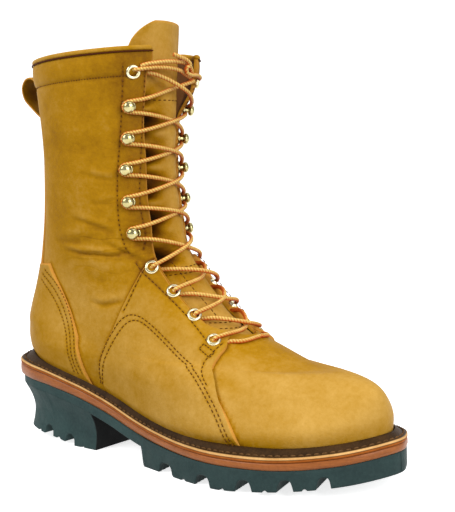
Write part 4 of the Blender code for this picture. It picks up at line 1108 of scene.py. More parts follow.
counter_u, counter_v, counter_top = counter_patch()
strip_u, strip_v = strip_patch(counter_top)
saddle = saddle_patch()
borders = [(counter_u[:, 0], counter_v[:, 0]), (strip_u[:, 0], strip_v[:, 0])]
borders += [(saddle[:, k, 0], saddle[:, k, 1]) for k in (0, -1)]
OVERLAY_EDGES = [upper_point(u if side > 0 else 1 - u, v) for u, v in borders for side in (1, -1)]
print(len(OVERLAY_EDGES), "cut edges drawn")

# %% [markdown]
# Before the wall is cut, its rows and its wear are set. Rows lie closer where the ankle folds. The tone comes
# from the place on the boot: wheat toe and heel and a browner shaft, with painted light and shade over them,
# and painted shade in folds, along seams and beside the cut edges of the overlays.

# %% Rows and tone of the upper
UPPER_COLUMNS = 300
INNER_SKIP = 5


def upper_rows():
    """Levels of the mesh rows, closer at ankle and throat; each INNER_SKIP-th meets the lining."""
    low = np.linspace(0, THROAT_LEVEL, 66)
    end = THROAT_LEVEL + 0.05 * np.array((0.003, 0.012, 0.03, 0.06, 0.1, 0.16, 0.25, 0.36, 0.5, 0.7))
    ankle = np.linspace(THROAT_LEVEL + 0.05, 0.64, 88)
    shaft = np.linspace(0.64, COLLAR_TOP, 73)[1:]
    return np.concatenate([low, end, ankle, shaft])


def leather_shade(u, v):
    """Lightness of the leather: its own wheat and brown tones, with painted light and shade laid over them.
    """
    side = np.minimum(np.mod(u, 1.0), 1 - np.mod(u, 1.0))
    shaft = eased(0.36, 0.56, v)
    facing = shaft * eased(0.145, 0.10, side)
    heel, toe = eased(0.29, 0.40, side), eased(0.15, 0.07, side)
    # lighter foot, partly tone and partly painted light; darker counter by tone
    # painted light low on the toe's side, painted shade on the vamp's top
    low = 0.18 - 0.14 * heel + 0.14 * toe * eased(0.20, 0.10, v) - 0.16 * toe * eased(0.12, 0.22, v)
    # browner shaft and facing, partly tone and partly painted shade; painted light on the shaft's back
    tone = low * (1 - shaft) + (0.17 * heel - 0.05) * shaft - 0.18 * facing
    # painted shade along the foot of the upper, by the welt
    return tone - 0.25 * eased(0.05, 0.015, v)


def tone_and_painted_shade(u, v, points):
    """Lightness with painted shade in fold troughs and along seams, and painted light on fold ridges."""
    folds = 0.15 * np.clip(fold_relief(points) / MM, -1.6, 0.6)
    return leather_shade(u, v) + folds - 0.22 * seam_press(points)


def throat_edges(v):
    """Shares of the outer and inner throat edge; the outer facing laps a little further over the tongue."""
    half = throat_half(v)
    lap = 2.0 + 1.6 * np.exp(-(((v - 0.73) / 0.1) ** 2)) + 2.5 * eased(0.95, 1.0, v)
    return half - MM * lap * eased(0.48, 0.58, v) / loop_speed(0 * v, v), half


def wrinkles(u, v):
    """How strongly fine creases show: most over the ankle and beside the facing, a little up the shaft."""
    side = np.minimum(np.mod(u, 1.0), 1 - np.mod(u, 1.0))
    ankle = np.exp(-(((v - 0.52) / 0.075) ** 2)) * eased(0.34, 0.2, side)
    shaft = 0.4 * eased(0.5, 0.62, v) * eased(0.88, 0.72, v) * eased(0.26, 0.13, side)
    return np.maximum(ankle, shaft)


def edge_shadow(points):
    """Painted shadow along the cut edges of the pieces sewn on later: 1 on them, nothing four millimetres
    away.
    """
    total = np.zeros(points.shape[:-1])
    for path in OVERLAY_EDGES:
        total = np.maximum(total, np.exp(-((near(points, path, 5 * MM)[0] / (1.6 * MM)) ** 2)))
    return total


print(len(upper_rows()), "rows up the boot")

# %% [markdown]
# The upper's leather is cut as one wall. Its outer face carries the folds; its inner face stays plain under a
# lining colour. Both meet round the sole, along the throat's two edges and at the collar, so the wall is
# closed. The inner face has fewer rows, and each of its steps along the throat closes against five outside.


# %% Upper
def build_upper():
    """Outer grid of worn leather and coarser lining grid a wall further in, joined along all four borders."""
    rows = upper_rows()
    first, last = (edge[:, None] for edge in throat_edges(rows))
    u = first + (1 - first - last) * crowded(UPPER_COLUMNS, 0.5)[None]
    v = np.repeat(rows[:, None], UPPER_COLUMNS, axis=1)
    edge = np.minimum(u - first, 1 - last - u) * loop_speed(u, v)
    open_rows = (rows > THROAT_LEVEL)[:, None]
    lip = np.where(open_rows, np.sqrt(1 - (1 - np.clip(edge / (1.1 * MM), 0, 1)) ** 2), 1)
    outer = skin(u, v, -0.9 * MM * (1 - lip))
    inner_u, inner_v = u[::INNER_SKIP], v[::INNER_SKIP]
    bend = flap(inner_u, inner_v)[..., None]
    inside = (bend - WALL) * upper_normal(inner_u, inner_v) - FLAP_DROOP * bend * (0, 0, 1)
    inner = upper_point(inner_u, inner_v) + inside
    count, columns = outer.shape[:2]
    first, more = count * columns, inner.size // 3
    low = np.arange(first).reshape(count, columns)
    back = first + np.arange(more).reshape(-1, columns)
    foot, rim = (np.stack([low[k, :-1], low[k, 1:], back[k, 1:], back[k, :-1]], axis=-1) for k in (0, -1))
    sides = []
    for column, turn in ((0, 1), (-1, -1)):
        steps = [low[k : count - INNER_SKIP + k : INNER_SKIP, column] for k in range(INNER_SKIP)]
        steps += [low[INNER_SKIP::INNER_SKIP, column], back[1:, column], back[:-1, column]]
        strip = np.stack(steps, axis=-1)[rows[INNER_SKIP::INNER_SKIP] > THROAT_LEVEL]
        sides.append(strip[:, ::turn])
    groups = [
        grid_faces(count, columns),
        grid_faces(len(back), columns, first=first)[:, ::-1],
        foot[:, ::-1],
        rim,
        *sides,
    ]
    points = np.concatenate([outer.reshape(-1, 3), inner.reshape(-1, 3)])
    flat = upper_point(u, v)
    # painted shade in folds and along seams, and a painted shadow along the overlays' cut edges
    shade = tone_and_painted_shade(u, v, flat) - 0.4 * edge_shadow(flat)
    cut = np.where(open_rows, eased(1.4 * MM, 0.2 * MM, edge), 0)
    numbers = {"shade": shade, "edge": 0.6 * cut, "wrinkle": wrinkles(u, v)}
    numbers = {title: np.append(values, np.zeros(more)) for title, values in numbers.items()}
    inside = np.append(np.zeros(first), np.ones(more))
    looks = [tan_leather, lining_leather]
    obj = piece("upper_leather", points, groups, looks, numbers=numbers, face_look=inside)
    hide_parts("upper")


build_upper()

# %% [markdown]
# Each overlay is cut from the same hide: its shape raised by its thickness, with the cut edge rounded down to
# the leather below and its foot thinned out where it slips behind the welt.

# %% Overlays
OVERLAY = 2.1 * MM


def overlay(name, u, v, node, thick=OVERLAY):
    """Closed sheet over the patch: a quarter-round edge rises to its thickness, and its foot thins out."""
    flat = upper_point(u, v)
    along = np.linalg.norm(np.diff(flat, axis=1), axis=2)
    up = np.linalg.norm(np.diff(flat, axis=0), axis=2)
    left = np.concatenate([np.zeros((len(u), 1)), np.cumsum(along, axis=1)], axis=1)
    low = np.concatenate([np.zeros((1, u.shape[1])), np.cumsum(up, axis=0)], axis=0)
    edge = np.minimum(np.minimum(left, left[:, -1:] - left), low[-1:] - low)
    share = np.clip(edge / (0.7 * thick), 0, 1)
    tuck = 0.2 + 0.8 * eased(5 * MM, 13 * MM, flat[..., 2] - bed(flat[..., 0]))
    outer = skin(u, v, thick * tuck * np.sqrt(1 - (1 - share) ** 2))
    inner = skin(u, v, np.full(u.shape, -0.3 * MM))
    # the overlay takes the tone and painted shade of the leather below, a little lighter
    shade = tone_and_painted_shade(u, v, flat) + 0.04
    cut = 0.8 * eased(1.3 * MM, 0.4 * MM, edge)
    numbers = {"shade": np.stack([shade, shade]), "edge": np.stack([cut, cut])}
    obj = piece(name, np.stack([outer, inner]), sheet_faces(*u.shape), [tan_leather], numbers=numbers)
    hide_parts(node)


overlay("counter_leather", counter_u, counter_v, "counter")
overlay("back_strip_leather", strip_u, strip_v, "back_strip", 1.6 * MM)
overlay("saddle_outer_leather", saddle[..., 0], saddle[..., 1], "saddle_outer")
overlay("saddle_inner_leather", 1 - saddle[..., 0], saddle[..., 1], "saddle_inner")

# %% [markdown]
# The collar's rim is bound with a narrow rolled strip. Its section is a rounded oval carried along the rim
# from one throat edge to the other, and its ends are rounded off.

# %% Collar binding
BINDING_TALL = 3.6 * MM
BINDING_THICK = 4.2 * MM
PIPING = 0.55 * MM
BINDING_STEPS, BINDING_SIDES, PIPING_SIDES = 260, 16, 8


def rim_frame(u, level):
    """Middle of the wall at the level, and its outward direction laid flat."""
    level = np.full(len(u), level)
    middle = skin(u, level, np.full(len(u), -0.5 * WALL))
    out = upper_normal(u, level) * (1, 1, 0)
    return middle, unit(out)


def tube(path, normal, radius, sides):
    """Rings round a path, their crown to the normal; also each point's run along it, crown and flank."""
    along = unit(np.gradient(path, axis=0))
    across = unit(np.cross(along, normal))
    lift = np.cross(across, along)
    turn = turns(sides)
    ring = np.cos(turn)[None, :, None] * across[:, None] + np.sin(turn)[None, :, None] * lift[:, None]
    size = np.ones(len(path))
    size[[0, -1]] = 0
    size[[1, -2]] = 0.75
    run = run_along(path)
    points = path[:, None] + radius * size[:, None, None] * ring
    where = {"run": np.repeat(run[:, None], sides, axis=1)}
    for title, values in (("crown", np.sin(turn)), ("flank", np.cos(turn))):
        where[title] = np.repeat(values[None], len(path), axis=0)
    return points, where


def build_binding():
    """Blunt oval carried along the rim, with round ends, and a thin piping under its outer side."""
    first, last = throat_edges(np.array(COLLAR_TOP))
    u = first + (1 - first - last) * crowded(BINDING_STEPS, 0.6)
    middle, out = rim_frame(u, COLLAR_TOP)
    turn, step = turns(BINDING_SIDES), np.arange(BINDING_STEPS)
    from_end = np.minimum(step, step[::-1])
    size = np.sqrt(1 - (1 - np.clip(from_end / 4, 0, 1)) ** 2)[:, None, None]
    across, lift = blunted(np.cos(turn), 0.8), blunted(np.sin(turn), 0.8)
    ring = 0.5 * BINDING_THICK * size * across[None, :, None] * out[:, None]
    ring = ring + 0.5 * BINDING_TALL * size * lift[None, :, None] * np.array((0, 0, 1.0))
    points = middle[:, None] + ring + np.array((0, 0, 0.4 * BINDING_TALL))
    # painted shade on the binding's underside
    shade = np.full(points.shape[:2], 0.12) - 0.25 * (lift < -0.5)
    faces = [grid_faces(BINDING_STEPS, BINDING_SIDES, around=True)]
    obj = piece("binding_leather", points, faces, [tan_leather], numbers={"shade": shade})
    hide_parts("collar_binding")
    line = middle + (0.5 * WALL + 0.9 * MM) * out - np.array((0, 0, 0.15 * BINDING_TALL))
    rings = tube(line, out, PIPING, PIPING_SIDES)[0]
    faces = [grid_faces(BINDING_STEPS, PIPING_SIDES, around=True)]
    obj = piece("collar_piping", rings, faces, [piping_red])


build_binding()

# %% [markdown]
# The tongue is a long soft sheet inside the throat. It lies against the lace in front, sinks away from the
# facing beside it in a few waves, and its round top leans back over the collar.

# %% Tongue
TONGUE_ROWS, CROWN_ROWS, TONGUE_COLUMNS = 130, 40, 60
TONGUE_FOOT, TONGUE_TOP, TONGUE_ROUND = 0.262, 1.0935, 0.985
TONGUE_HALF = 33 * MM
TONGUE_THICK = 2.2 * MM
TONGUE_CLEAR = 0.8 * MM
TONGUE_LEAN = 6 * MM


def tongue_surface(side, v):
    """Outer face for side from -1 (inner edge) to 1 (outer edge), with its waves beside the facing."""
    crown = np.clip((v - TONGUE_ROUND) / (TONGUE_TOP - TONGUE_ROUND), 0, 1)
    narrow = np.where(side < 0, 0.12 * crown**4, 0.9 * crown**2)
    half = TONGUE_HALF * np.sqrt(1 - narrow) / loop_speed(0 * v, v)
    lean = TONGUE_LEAN * np.clip((v - 0.8) / (TONGUE_TOP - 0.8), 0, 1)
    waves = 0.62 + 0.36 * np.sin(v * 76 + 4 * side) + 0.2 * np.sin(v * 131 - 5 * side + 1)
    sink = 12 * MM * eased(-0.05, 0.65, side) * eased(0.40, 0.53, v) * eased(0.94, 0.84, v) * waves
    pillow = 0.6 * MM * np.sin(v * 55) * eased(0.30, 0.40, v) * eased(0.9, 0.8, v)
    bulge = 2.6 * MM * np.exp(-(((side + 0.2) / 0.45) ** 2)) * eased(0.33, 0.45, v) * eased(0.98, 0.88, v)
    out = bulge - WALL - TONGUE_CLEAR - lean - sink - np.abs(pillow)
    return half * side, v, out, sink


def build_tongue():
    """Closed sheet: the outer face, the inner face a thickness behind it, and rounded edges."""
    crown = TONGUE_ROUND + (TONGUE_TOP - TONGUE_ROUND) * crowded(CROWN_ROWS)
    v = np.concatenate([np.linspace(TONGUE_FOOT, TONGUE_ROUND, TONGUE_ROWS), crown[1:]])
    side = 2 * crowded(TONGUE_COLUMNS) - 1
    side, v = np.meshgrid(side, v)
    u, v, out, sink = tongue_surface(side, v)
    normal, flat = upper_normal(u, v), upper_point(u, v)
    edge = np.minimum(1 - np.abs(side), (TONGUE_TOP - v) * 4) * TONGUE_HALF
    share = np.sqrt(1 - (1 - np.clip(edge / (1.1 * MM), 0, 1)) ** 2)
    outer = flat + (out - 1.0 * MM * (1 - share))[..., None] * normal
    inner = flat + (out - TONGUE_THICK + 1.0 * MM * (1 - share))[..., None] * normal
    # painted shade towards the tongue's edges, and a painted shadow where it sinks away from the facing
    shade = 0.24 - 0.12 * eased(0.5, 0.9, np.abs(side)) - 0.17 * sink / MM
    # painted shadow under the inner throat edge, low on the tongue
    shade = shade - 0.6 * eased(-0.25, -0.5, side) * eased(0.54, 0.46, v)
    cut = 0.35 * eased(1.4 * MM, 0.3 * MM, edge)
    numbers = {"shade": np.stack([shade, shade]), "edge": np.stack([cut, cut])}
    faces = sheet_faces(*u.shape)
    obj = piece("tongue_leather", np.stack([outer, inner]), faces, [tan_leather], numbers=numbers)
    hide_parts("tongue")


build_tongue()

# %% [markdown]
# A strap of leather is folded into a loop at the back of the collar, to pull the boot on by. Its section is a
# flat rounded rectangle carried round a drop-shaped line.

# %% Pull loop
PULL_LOOP_LINE = MM * np.array(
    [(26, 231), (26, 239), (24, 247), (19, 255), (13, 260), (7, 259.5), (3, 254), (4.5, 246.5), (12, 239)]
)
STRAP_THICK = 1.9 * MM
STRAP_WIDE = 24 * MM
STRAP_STEPS, STRAP_SIDES = 120, 24


def build_pull_loop():
    """Blunt flat section carried once round the closed line, its cut edges to both sides."""
    knots, curve = closed_through(PULL_LOOP_LINE)
    at = np.linspace(knots[0], knots[-1], STRAP_STEPS + 1)[:-1]
    along = unit(curve(at + 1e-4) - curve(at - 1e-4))
    out = np.column_stack([along[:, 1], 0 * at, -along[:, 0]])
    line = np.column_stack([curve(at)[:, 0], 0 * at, curve(at)[:, 1]])
    turn = turns(STRAP_SIDES)
    across, lift = blunted(np.cos(turn), 0.25), blunted(np.sin(turn), 0.5)
    ring = 0.5 * STRAP_WIDE * across[None, :, None] * np.array((0, 1.0, 0))
    ring = ring + 0.5 * STRAP_THICK * lift[None, :, None] * out[:, None]
    points = line[:, None] + ring
    # painted shade on the inner face of the loop
    shade = np.broadcast_to(np.where(lift < 0, -0.25, 0.08), points.shape[:2])
    cut = np.broadcast_to(0.8 * (np.abs(across) > 0.97), points.shape[:2])
    around = np.concatenate([points, points[:1]])
    numbers = {"shade": np.concatenate([shade, shade[:1]]), "edge": np.concatenate([cut, cut[:1]])}
    faces = [grid_faces(STRAP_STEPS + 1, STRAP_SIDES, around=True)]
    obj = piece("pull_loop_leather", around, faces, [tan_leather], numbers=numbers)
    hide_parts("pull_loop")


build_pull_loop()

# %% [markdown]
# Eyelets and hooks are turned brass parts, so one profile is swept round each place's own axis. An eyelet is
# a rolled rim that dips into a hole, closed by a painted shadow. A hook is a washer, a thin neck and a ball
# that holds the lace.

# %% Eyelets and hooks
EYELET_LINE = ((189.8, 82.5), (171.7, 97), (155.2, 111.8), (139, 127.3))
HOOK_LINE = ((126.6, 150), (123.7, 170.8), (123.4, 192.4), (125.4, 212.7), (127.6, 233.5))
TOP_EYELET = ((131.6, 255.7),)
INNER_BACK = 3.5 * MM  # all but the top pair stand further back by this on the inner side
EYELET_PROFILE = MM * np.array(
    # radius, height over the leather
    [
        (0, -1.9), (4.75, -1.9), (4.75, -0.4), (4.8, 0.3), (4.5, 0.9), (3.9, 1.25), (3.2, 1.2), (2.7, 0.75),
        (2.45, 0), (2.4, -1.6), (0, -1.7),
    ]
)  # fmt: skip
HOOK_PROFILE = MM * np.array(
    [
        (0, -0.4), (4.6, -0.4), (4.7, 0.5), (4.45, 0.95), (3.9, 1.1), (3.2, 0.85), (2.2, 0.8),
        (1.85, 1.2), (1.8, 3.4), (2.4, 3.6), (3.3, 4.1), (3.75, 4.9), (3.75, 5.7), (3.3, 6.6),
        (2.4, 7.2), (1.2, 7.6), (0, 7.7),
    ]
)  # fmt: skip
BRASS_SIDES = 32
hold_u, hold_v = locate(EYELET_LINE + HOOK_LINE + TOP_EYELET)
FIRST_HOOK, TOP_HOLD = len(EYELET_LINE), len(hold_u) - 1
holds = np.arange(len(hold_u))
hold_under = np.where(holds < FIRST_HOOK, OVERLAY, 0.0)
hold_back = hold_u + np.where(holds < TOP_HOLD, INNER_BACK, 0) / loop_speed(hold_u, hold_v)


def hold(i, side):
    """Share u of a holding point on the outer side, or on the inner side, where most stand further back."""
    return hold_u[i] if side > 0 else -hold_back[i]


def turned(name, profile, places, sides, looks, nodes, shadow_rings=0):
    """Profile swept round the leather's normal at each place; the last rings may take the second look, a
    painted shadow.
    """
    u = np.concatenate([hold(places, 1), hold(places, -1)])
    v, under = np.tile(hold_v[places], 2), np.tile(hold_under[places], 2)
    axis = upper_normal(u, v)
    across = unit(np.cross(axis, (0, 0, 1)))
    lift = np.cross(axis, across)
    turn = turns(sides)
    spoke = np.cos(turn)[:, None] * across[:, None] + np.sin(turn)[:, None] * lift[:, None]
    centre = skin(u, v, under)
    rings = centre[:, None, None] + profile[:, 1, None, None] * axis[:, None, None]
    points = rings + profile[:, 0, None, None] * spoke[:, None]
    count = len(profile)
    dark = np.zeros(points.shape[:3])
    dark[:, count - shadow_rings :] = 1
    faces = [ring_faces(len(u), count, sides)]
    obj = piece(name, points, faces, looks, face_look=dark, sharp=60, closed=False)
    obj.data.flip_normals()
    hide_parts(*nodes)


EYELETS, HOOKS = [*range(FIRST_HOOK), TOP_HOLD], [*range(FIRST_HOOK, TOP_HOLD)]
eyelet_nodes = [f"eyelet_{side}_{i}" for side in ("outer", "inner") for i in range(1, 6)]
hook_nodes = [f"hook_{side}_{i}" for side in ("outer", "inner") for i in range(1, 6)]
turned("brass_eyelets", EYELET_PROFILE, EYELETS, BRASS_SIDES, [pale_brass, hole_shadow], eyelet_nodes, 2)
turned("brass_hooks", HOOK_PROFILE, HOOKS, BRASS_SIDES, [hook_brass], hook_nodes)

# %% [markdown]
# The lace is one round braid. From the bar over the vamp each end comes up through an eyelet, crosses to the
# other side, dives under that edge and comes up through the next eyelet. Higher up it turns round the hooks.
# A run is a table of places on the leather with a height; the cord is a tube along the curve through them.

# %% Turns of the lace
LACE_RADIUS = 1.4 * MM
LACE_STEPS, LACE_SIDES, END_STEPS = 1500, 12, 160
RAISED = MM * np.array((0.8, 3.0))  # height of the two strands where they cross over the tongue


def hole_out(i, side):
    """Rows (u, v, height) of a strand that comes up through eyelet i and bends towards the throat."""
    u, v, under = hold(i, side), hold_v[i], hold_under[i]
    step, reach = side / loop_speed(u, v), 4.6 if side > 0 else 8.0
    return [
        (u + 0.6 * MM * step, v - 0.5 * MM / rise_speed(u, v), under - 3.0 * MM),
        (u, v, under - 0.6 * MM),
        (u - 1.8 * MM * step, v + 0.8 * MM / rise_speed(u, v), under + 1.5 * MM),
        (u - reach * MM * step, v + 0.42 * reach * MM / rise_speed(u, v), under + 1.7 * MM),
    ]


def hook_turn(i, side):
    """Rows of a strand that comes from the throat below hook i, turns behind its neck and leaves above."""
    u, v = hold(i, side), hold_v[i]
    step, lift = side / loop_speed(u, v), 1 / rise_speed(u, v)
    turn = ((-7, -4.4), (-2.5, -3.8), (1.9, -2.6), (3.3, 0), (1.9, 2.6), (-2.5, 3.8), (-7, 4.4))
    return [(u + a * MM * step, v + b * MM * lift, 2.5 * MM) for a, b in turn]


def dive(i, side):
    """Rows of a strand that slips under the throat's edge towards eyelet i."""
    u, v = hold(i, side), hold_v[i]
    edge = side * (saddle_top(v) if i < FIRST_HOOK else throat_half(v))
    step, lift = side / loop_speed(u, v), 1 / rise_speed(u, v)
    low = MM * np.array((-0.3, -2.6, -4.0, -4.2) if i else (1.4, 0.8, -2.0, -4.2))
    return [
        (edge - 5.5 * MM * step, v - 1.5 * MM * lift, low[0]),
        (edge - 1.5 * MM * step, v - 0.5 * MM * lift, low[1]),
        (edge + 3.0 * MM * step, v, low[2]),
        (u - 2.0 * MM * step, v - 0.6 * MM * lift, low[3]),
    ]


def over(first, second, side, height):
    """Row half way between two holding points, where the strand lies over the tongue."""
    v = 0.5 * (hold_v[first] + hold_v[second])
    return [(0.004 * side, v, height)]


print(len(hook_turn(FIRST_HOOK, 1)), "rows lead the lace round a hook")

# %% [markdown]
# These turns are strung together on the way up, with a change of side after each eyelet or hook, and one
# smooth line through all of them carries the round cord.


# %% Strands of the lace
def lace_strand(side, height):
    """One end of the lace from the middle of its lowest bar to the top eyelet, as rows (u, v, height)."""
    rows = [(0.0, hold_v[0] + 0.004, 1.8 * MM), *dive(0, side)]
    for i in range(FIRST_HOOK):
        rows += hole_out(i, side)
        side = -side
        rows += over(i, i + 1, -side, height)
        if i + 1 < FIRST_HOOK:
            rows += dive(i + 1, side)
    for i in range(FIRST_HOOK, TOP_HOLD):
        rows += hook_turn(i, side)
        side = -side
        rows += over(i, i + 1, -side, height)
    rows = np.array(rows + dive(TOP_HOLD, side))
    rows[:, 2] += flap(rows[:, 0], rows[:, 1])
    return rows


def cord_rings(rows, count):
    """Tube through rows of places (u, v, height) on the leather."""
    u, v, height = rows.T
    out = upper_normal(u, v)
    droop = FLAP_DROOP * flap(u, v) * eased(0, 0.06, 1 - np.mod(u, 1.0))
    line = upper_point(u, v) + (height + inner_lip(u, v))[:, None] * out - droop[:, None] * (0, 0, 1)
    shares = np.linspace(0, 1, count)
    path = evenly(line, shares)
    return path, *tube(path, unit(evenly(out, shares)), LACE_RADIUS, LACE_SIDES)


def build_lace():
    """Both strands as tubes in one mesh; they start at the middle of the lowest bar, one to each side."""
    made = [cord_rings(lace_strand(side, height), LACE_STEPS) for side, height in zip((1, -1), RAISED)]
    points = np.concatenate([rings for _, rings, _ in made])
    faces = [ring_faces(len(made), LACE_STEPS, LACE_SIDES)]
    numbers = {title: np.concatenate([where[title] for *_, where in made]) for title in made[0][2]}
    obj = piece("lace_run", points, faces, [lace_weave], numbers=numbers, sharp=80)
    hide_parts("lace")


build_lace()

# %% [markdown]
# At the top the two ends are tied over the tongue. The outer one runs to the knot, bends round and comes back
# above itself to its eyelet. The inner one comes over the collar's corner, turns round that bend and stops
# in a short end that stands up. Both are free cords.

# %% Free lace ends
OUTER_END = (
    # u, level, height in mm
    (0.0832, 0.9665, -0.8), (0.076, 0.9675, 2.3), (0.062, 0.970, 3.2), (0.040, 0.972, 3.6),
    (0.018, 0.970, 4.2), (-0.002, 0.964, 5.0), (-0.018, 0.957, 5.6), (-0.029, 0.959, 6.2),
    (-0.032, 0.969, 6.6), (-0.026, 0.979, 6.8), (-0.011, 0.985, 6.4), (0.007, 0.987, 5.6),
    (0.026, 0.987, 4.6), (0.046, 0.984, 3.8), (0.062, 0.980, 3.2), (0.071, 0.976, 2.4),
)  # fmt: skip
INNER_END = (
    (-0.0832, 0.9665, 6.4), (-0.078, 0.968, 8.6), (-0.066, 0.971, 9.4), (-0.050, 0.971, 9.2),
    (-0.034, 0.966, 9.0), (-0.018, 0.959, 8.8), (-0.007, 0.962, 8.6), (-0.005, 0.972, 8.8),
    (-0.011, 0.982, 9.6), (-0.004, 0.991, 9.4), (0.008, 0.999, 8.4), (0.020, 1.006, 7.4),
)  # fmt: skip


def free_end(name, rows, exit_side, nodes):
    """Tube through the rows, a free cord that leaves its top eyelet."""
    rows = np.array(rows) * (1, 1, MM)
    path, rings, where = cord_rings(rows, END_STEPS)
    faces = [grid_faces(END_STEPS, LACE_SIDES, around=True)]
    obj = piece(name, rings, faces, [lace_weave], numbers=where, sharp=80)
    leave = skin(hold(TOP_HOLD, exit_side), hold_v[TOP_HOLD]) + SHIFT
    (path + SHIFT).tolist()
    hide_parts(*nodes)


free_end("lace_end_outer_cord", OUTER_END, 1, ["lace_tail_outer", "lace_knot", "lace_end_outer"])
free_end("lace_end_inner_cord", INNER_END, -1, ["lace_tail_inner", "lace_end_inner"])

# %% [markdown]
# The seams are sewn with thick dark thread. A stitch is a short tube that dips into the leather at both ends.
# All stitches of a seam come from one small template, set along the line at its own pitch and turned with it.

# %% Stitches
STITCH_PITCH = 3.3 * MM
STITCH_LONG = 2.5 * MM
THREAD = 0.34 * MM
STITCH_SIDES = 6
TONGUE_SEAM_LEVELS = (0.885, 0.470, 0.456, 0.340, 0.326)


def stitch_template():
    """Rings of one stitch along x: thin at the ends, arched up in its middle."""
    along = np.array((-1, -0.82, -0.4, 0.0, 0.4, 0.82, 1.0))
    size = np.array((0, 0.75, 1, 1, 1, 0.75, 0))
    turn = turns(STITCH_SIDES)
    arch = 0.35 - 1.0 * along**4
    side = size[:, None] * np.cos(turn)
    up = size[:, None] * np.sin(turn) + arch[:, None]
    return np.stack([np.repeat(along[:, None], STITCH_SIDES, axis=1), side, up], axis=-1)


def sew(path, normal, pitch=STITCH_PITCH, long=STITCH_LONG, thread=THREAD):
    """Points of the stitches along a path: the template turned to the path and to the leather's normal."""
    run = run_along(path)
    count = max(int(run[-1] / pitch), 1)
    at = (np.arange(count) + 0.5) * run[-1] / count
    place = np.stack([np.interp(at, run, path[:, k]) for k in range(3)], axis=1)
    up = unit(np.stack([np.interp(at, run, normal[:, k]) for k in range(3)], axis=1))
    slope = np.gradient(path, run, axis=0)
    along = unit(np.stack([np.interp(at, run, slope[:, k]) for k in range(3)], axis=1))
    side = unit(np.cross(up, along))
    form = stitch_template() * (0.5 * long, thread, thread)
    axes = np.stack([along, side, up], axis=1)
    return place[:, None, None] + np.einsum("rsk,nkj->nrsj", form, axes)


def seam(rows, under=0.0, **sizes):
    """Stitches along rows (u, v), on leather of the given extra thickness."""
    u, v = rows.T
    return sew(skin(u, v, np.full(len(u), under)), upper_normal(u, v), **sizes)


def thread_piece(name, stitches, thread_look):
    """All stitches of several seams as one mesh."""
    points = np.concatenate(stitches)
    faces = [ring_faces(*points.shape[:3])]
    obj = piece(name, points, faces, [thread_look], sharp=80, closed=False)
    obj.data.flip_normals()
    print(name, len(points), "stitches")


print(len(stitch_template()), "rings make a stitch")

# %% [markdown]
# Each group of seams has its own pitch and thread: long stitches on the saddle, fine ones on the counter and
# thick ones under the collar. The tongue has a few level rows of its own.


# %% Seams of upper and tongue
def sew_upper():
    """Seams of the upper, each group with its own pitch, stitch and thread."""
    fine = {"pitch": 2.6 * MM, "long": 1.7 * MM, "thread": 0.28 * MM}
    made = [seam(rows, OVERLAY) for rows in SEAMS["saddle"]]
    made += [seam(rows, OVERLAY, pitch=2.2 * MM, long=1.9 * MM) for rows in SEAMS["box"]]
    made += [seam(rows, OVERLAY, **fine) for rows in SEAMS["counter"]]
    made += [seam(rows, 0.1 * MM, pitch=2.0 * MM, long=1.6 * MM, thread=0.4 * MM) for rows in SEAMS["collar"]]
    made += [seam(rows, 0.0, long=1.5 * MM) for rows in SEAMS["facing"]]
    thread_piece("upper_stitches", made, brown_thread)


def sew_tongue():
    """Short level seams across the tongue, read from its own outer face."""
    made, side = [], np.linspace(-0.72, 0.72, 80)
    for level in TONGUE_SEAM_LEVELS:
        u, v, out, _ = tongue_surface(side, np.full_like(side, level))
        normal = upper_normal(u, v)
        made.append(sew(upper_point(u, v) + out[:, None] * normal, normal, long=2.2 * MM))
    thread_piece("tongue_stitches", made, brown_thread)


sew_upper()
sew_tongue()

# %% [markdown]
# The welt is a stiff leather strip all round. Its waxed slope rises to a lip against the upper and its
# trimmed edge is left natural. A row of thick stitches holds it to the midsole.

# %% Welt
WELT_TALL = 6.9 * MM
WELT_LEAST = 2.6 * MM
WELT_STEPS = 600
WELT_PROFILE = np.array(
    [
        # share from the lip to the edge, height in mm, edge colour, stain
        (0.00, 0.0, 0, 0), (0.00, 6.9, 0, 0), (0.06, 7.1, 0, 0), (0.16, 6.7, 0, 0), (0.30, 5.8, 0, 0),
        (0.40, 5.0, 0, 0), (0.50, 4.3, 0, 0), (0.58, 3.7, 0, 0), (0.66, 3.6, 0, 0), (0.80, 3.4, 0, 0),
        (0.90, 3.2, 0, 0), (0.96, 3.0, 0.6, 0), (1.0, 2.6, 1, 0), (1.012, 1.9, 1, 0),
        (1.008, 1.65, 0.1, 0.3), (0.985, 1.45, 0, 0.1), (1.008, 1.25, 0, 1), (1.012, 0.8, 0, 1),
        (1.0, 0.2, 0, 1), (0.97, 0.0, 0, 1), (0.90, 0.0, 0, 0.5),
    ]
)  # fmt: skip


def welt_loops():
    """Inside line at the upper and edge line of the midsole, pushed out where the upper comes near it."""
    turn = np.arange(WELT_STEPS) / WELT_STEPS
    high = upper_point(turn, LEVELS[1])
    level = LEVELS[1] * WELT_TALL / (high[:, 2] - bed(high[:, 0]))
    inside = (upper_point(turn, level) + 3 * CLEARANCE * upper_normal(turn, level))[:, :2]
    outline, out = sole_loop(OUTLINE_POINTS, 1.0)
    nearest = np.linalg.norm(outline[None] - inside[:, None], axis=2).argmin(axis=1)
    edge, out = outline[nearest], out[nearest]
    gap = ((edge - inside) * out).sum(axis=1)
    return inside, edge + np.maximum(WELT_LEAST - gap, 0)[:, None] * out


welt_inside, welt_edge = welt_loops()
welt_wide = 1000 * np.linalg.norm(welt_edge - welt_inside, axis=1)
print("welt", np.round(welt_wide.min(), 1), "to", np.round(welt_wide.max(), 1), "mm wide")


def welt_point(share, height):
    """Loop at a share of the way from the upper to the edge, and a height over the bed."""
    plan = welt_inside + share * (welt_edge - welt_inside)
    return np.column_stack([plan, bed(plan[:, 0]) + height])


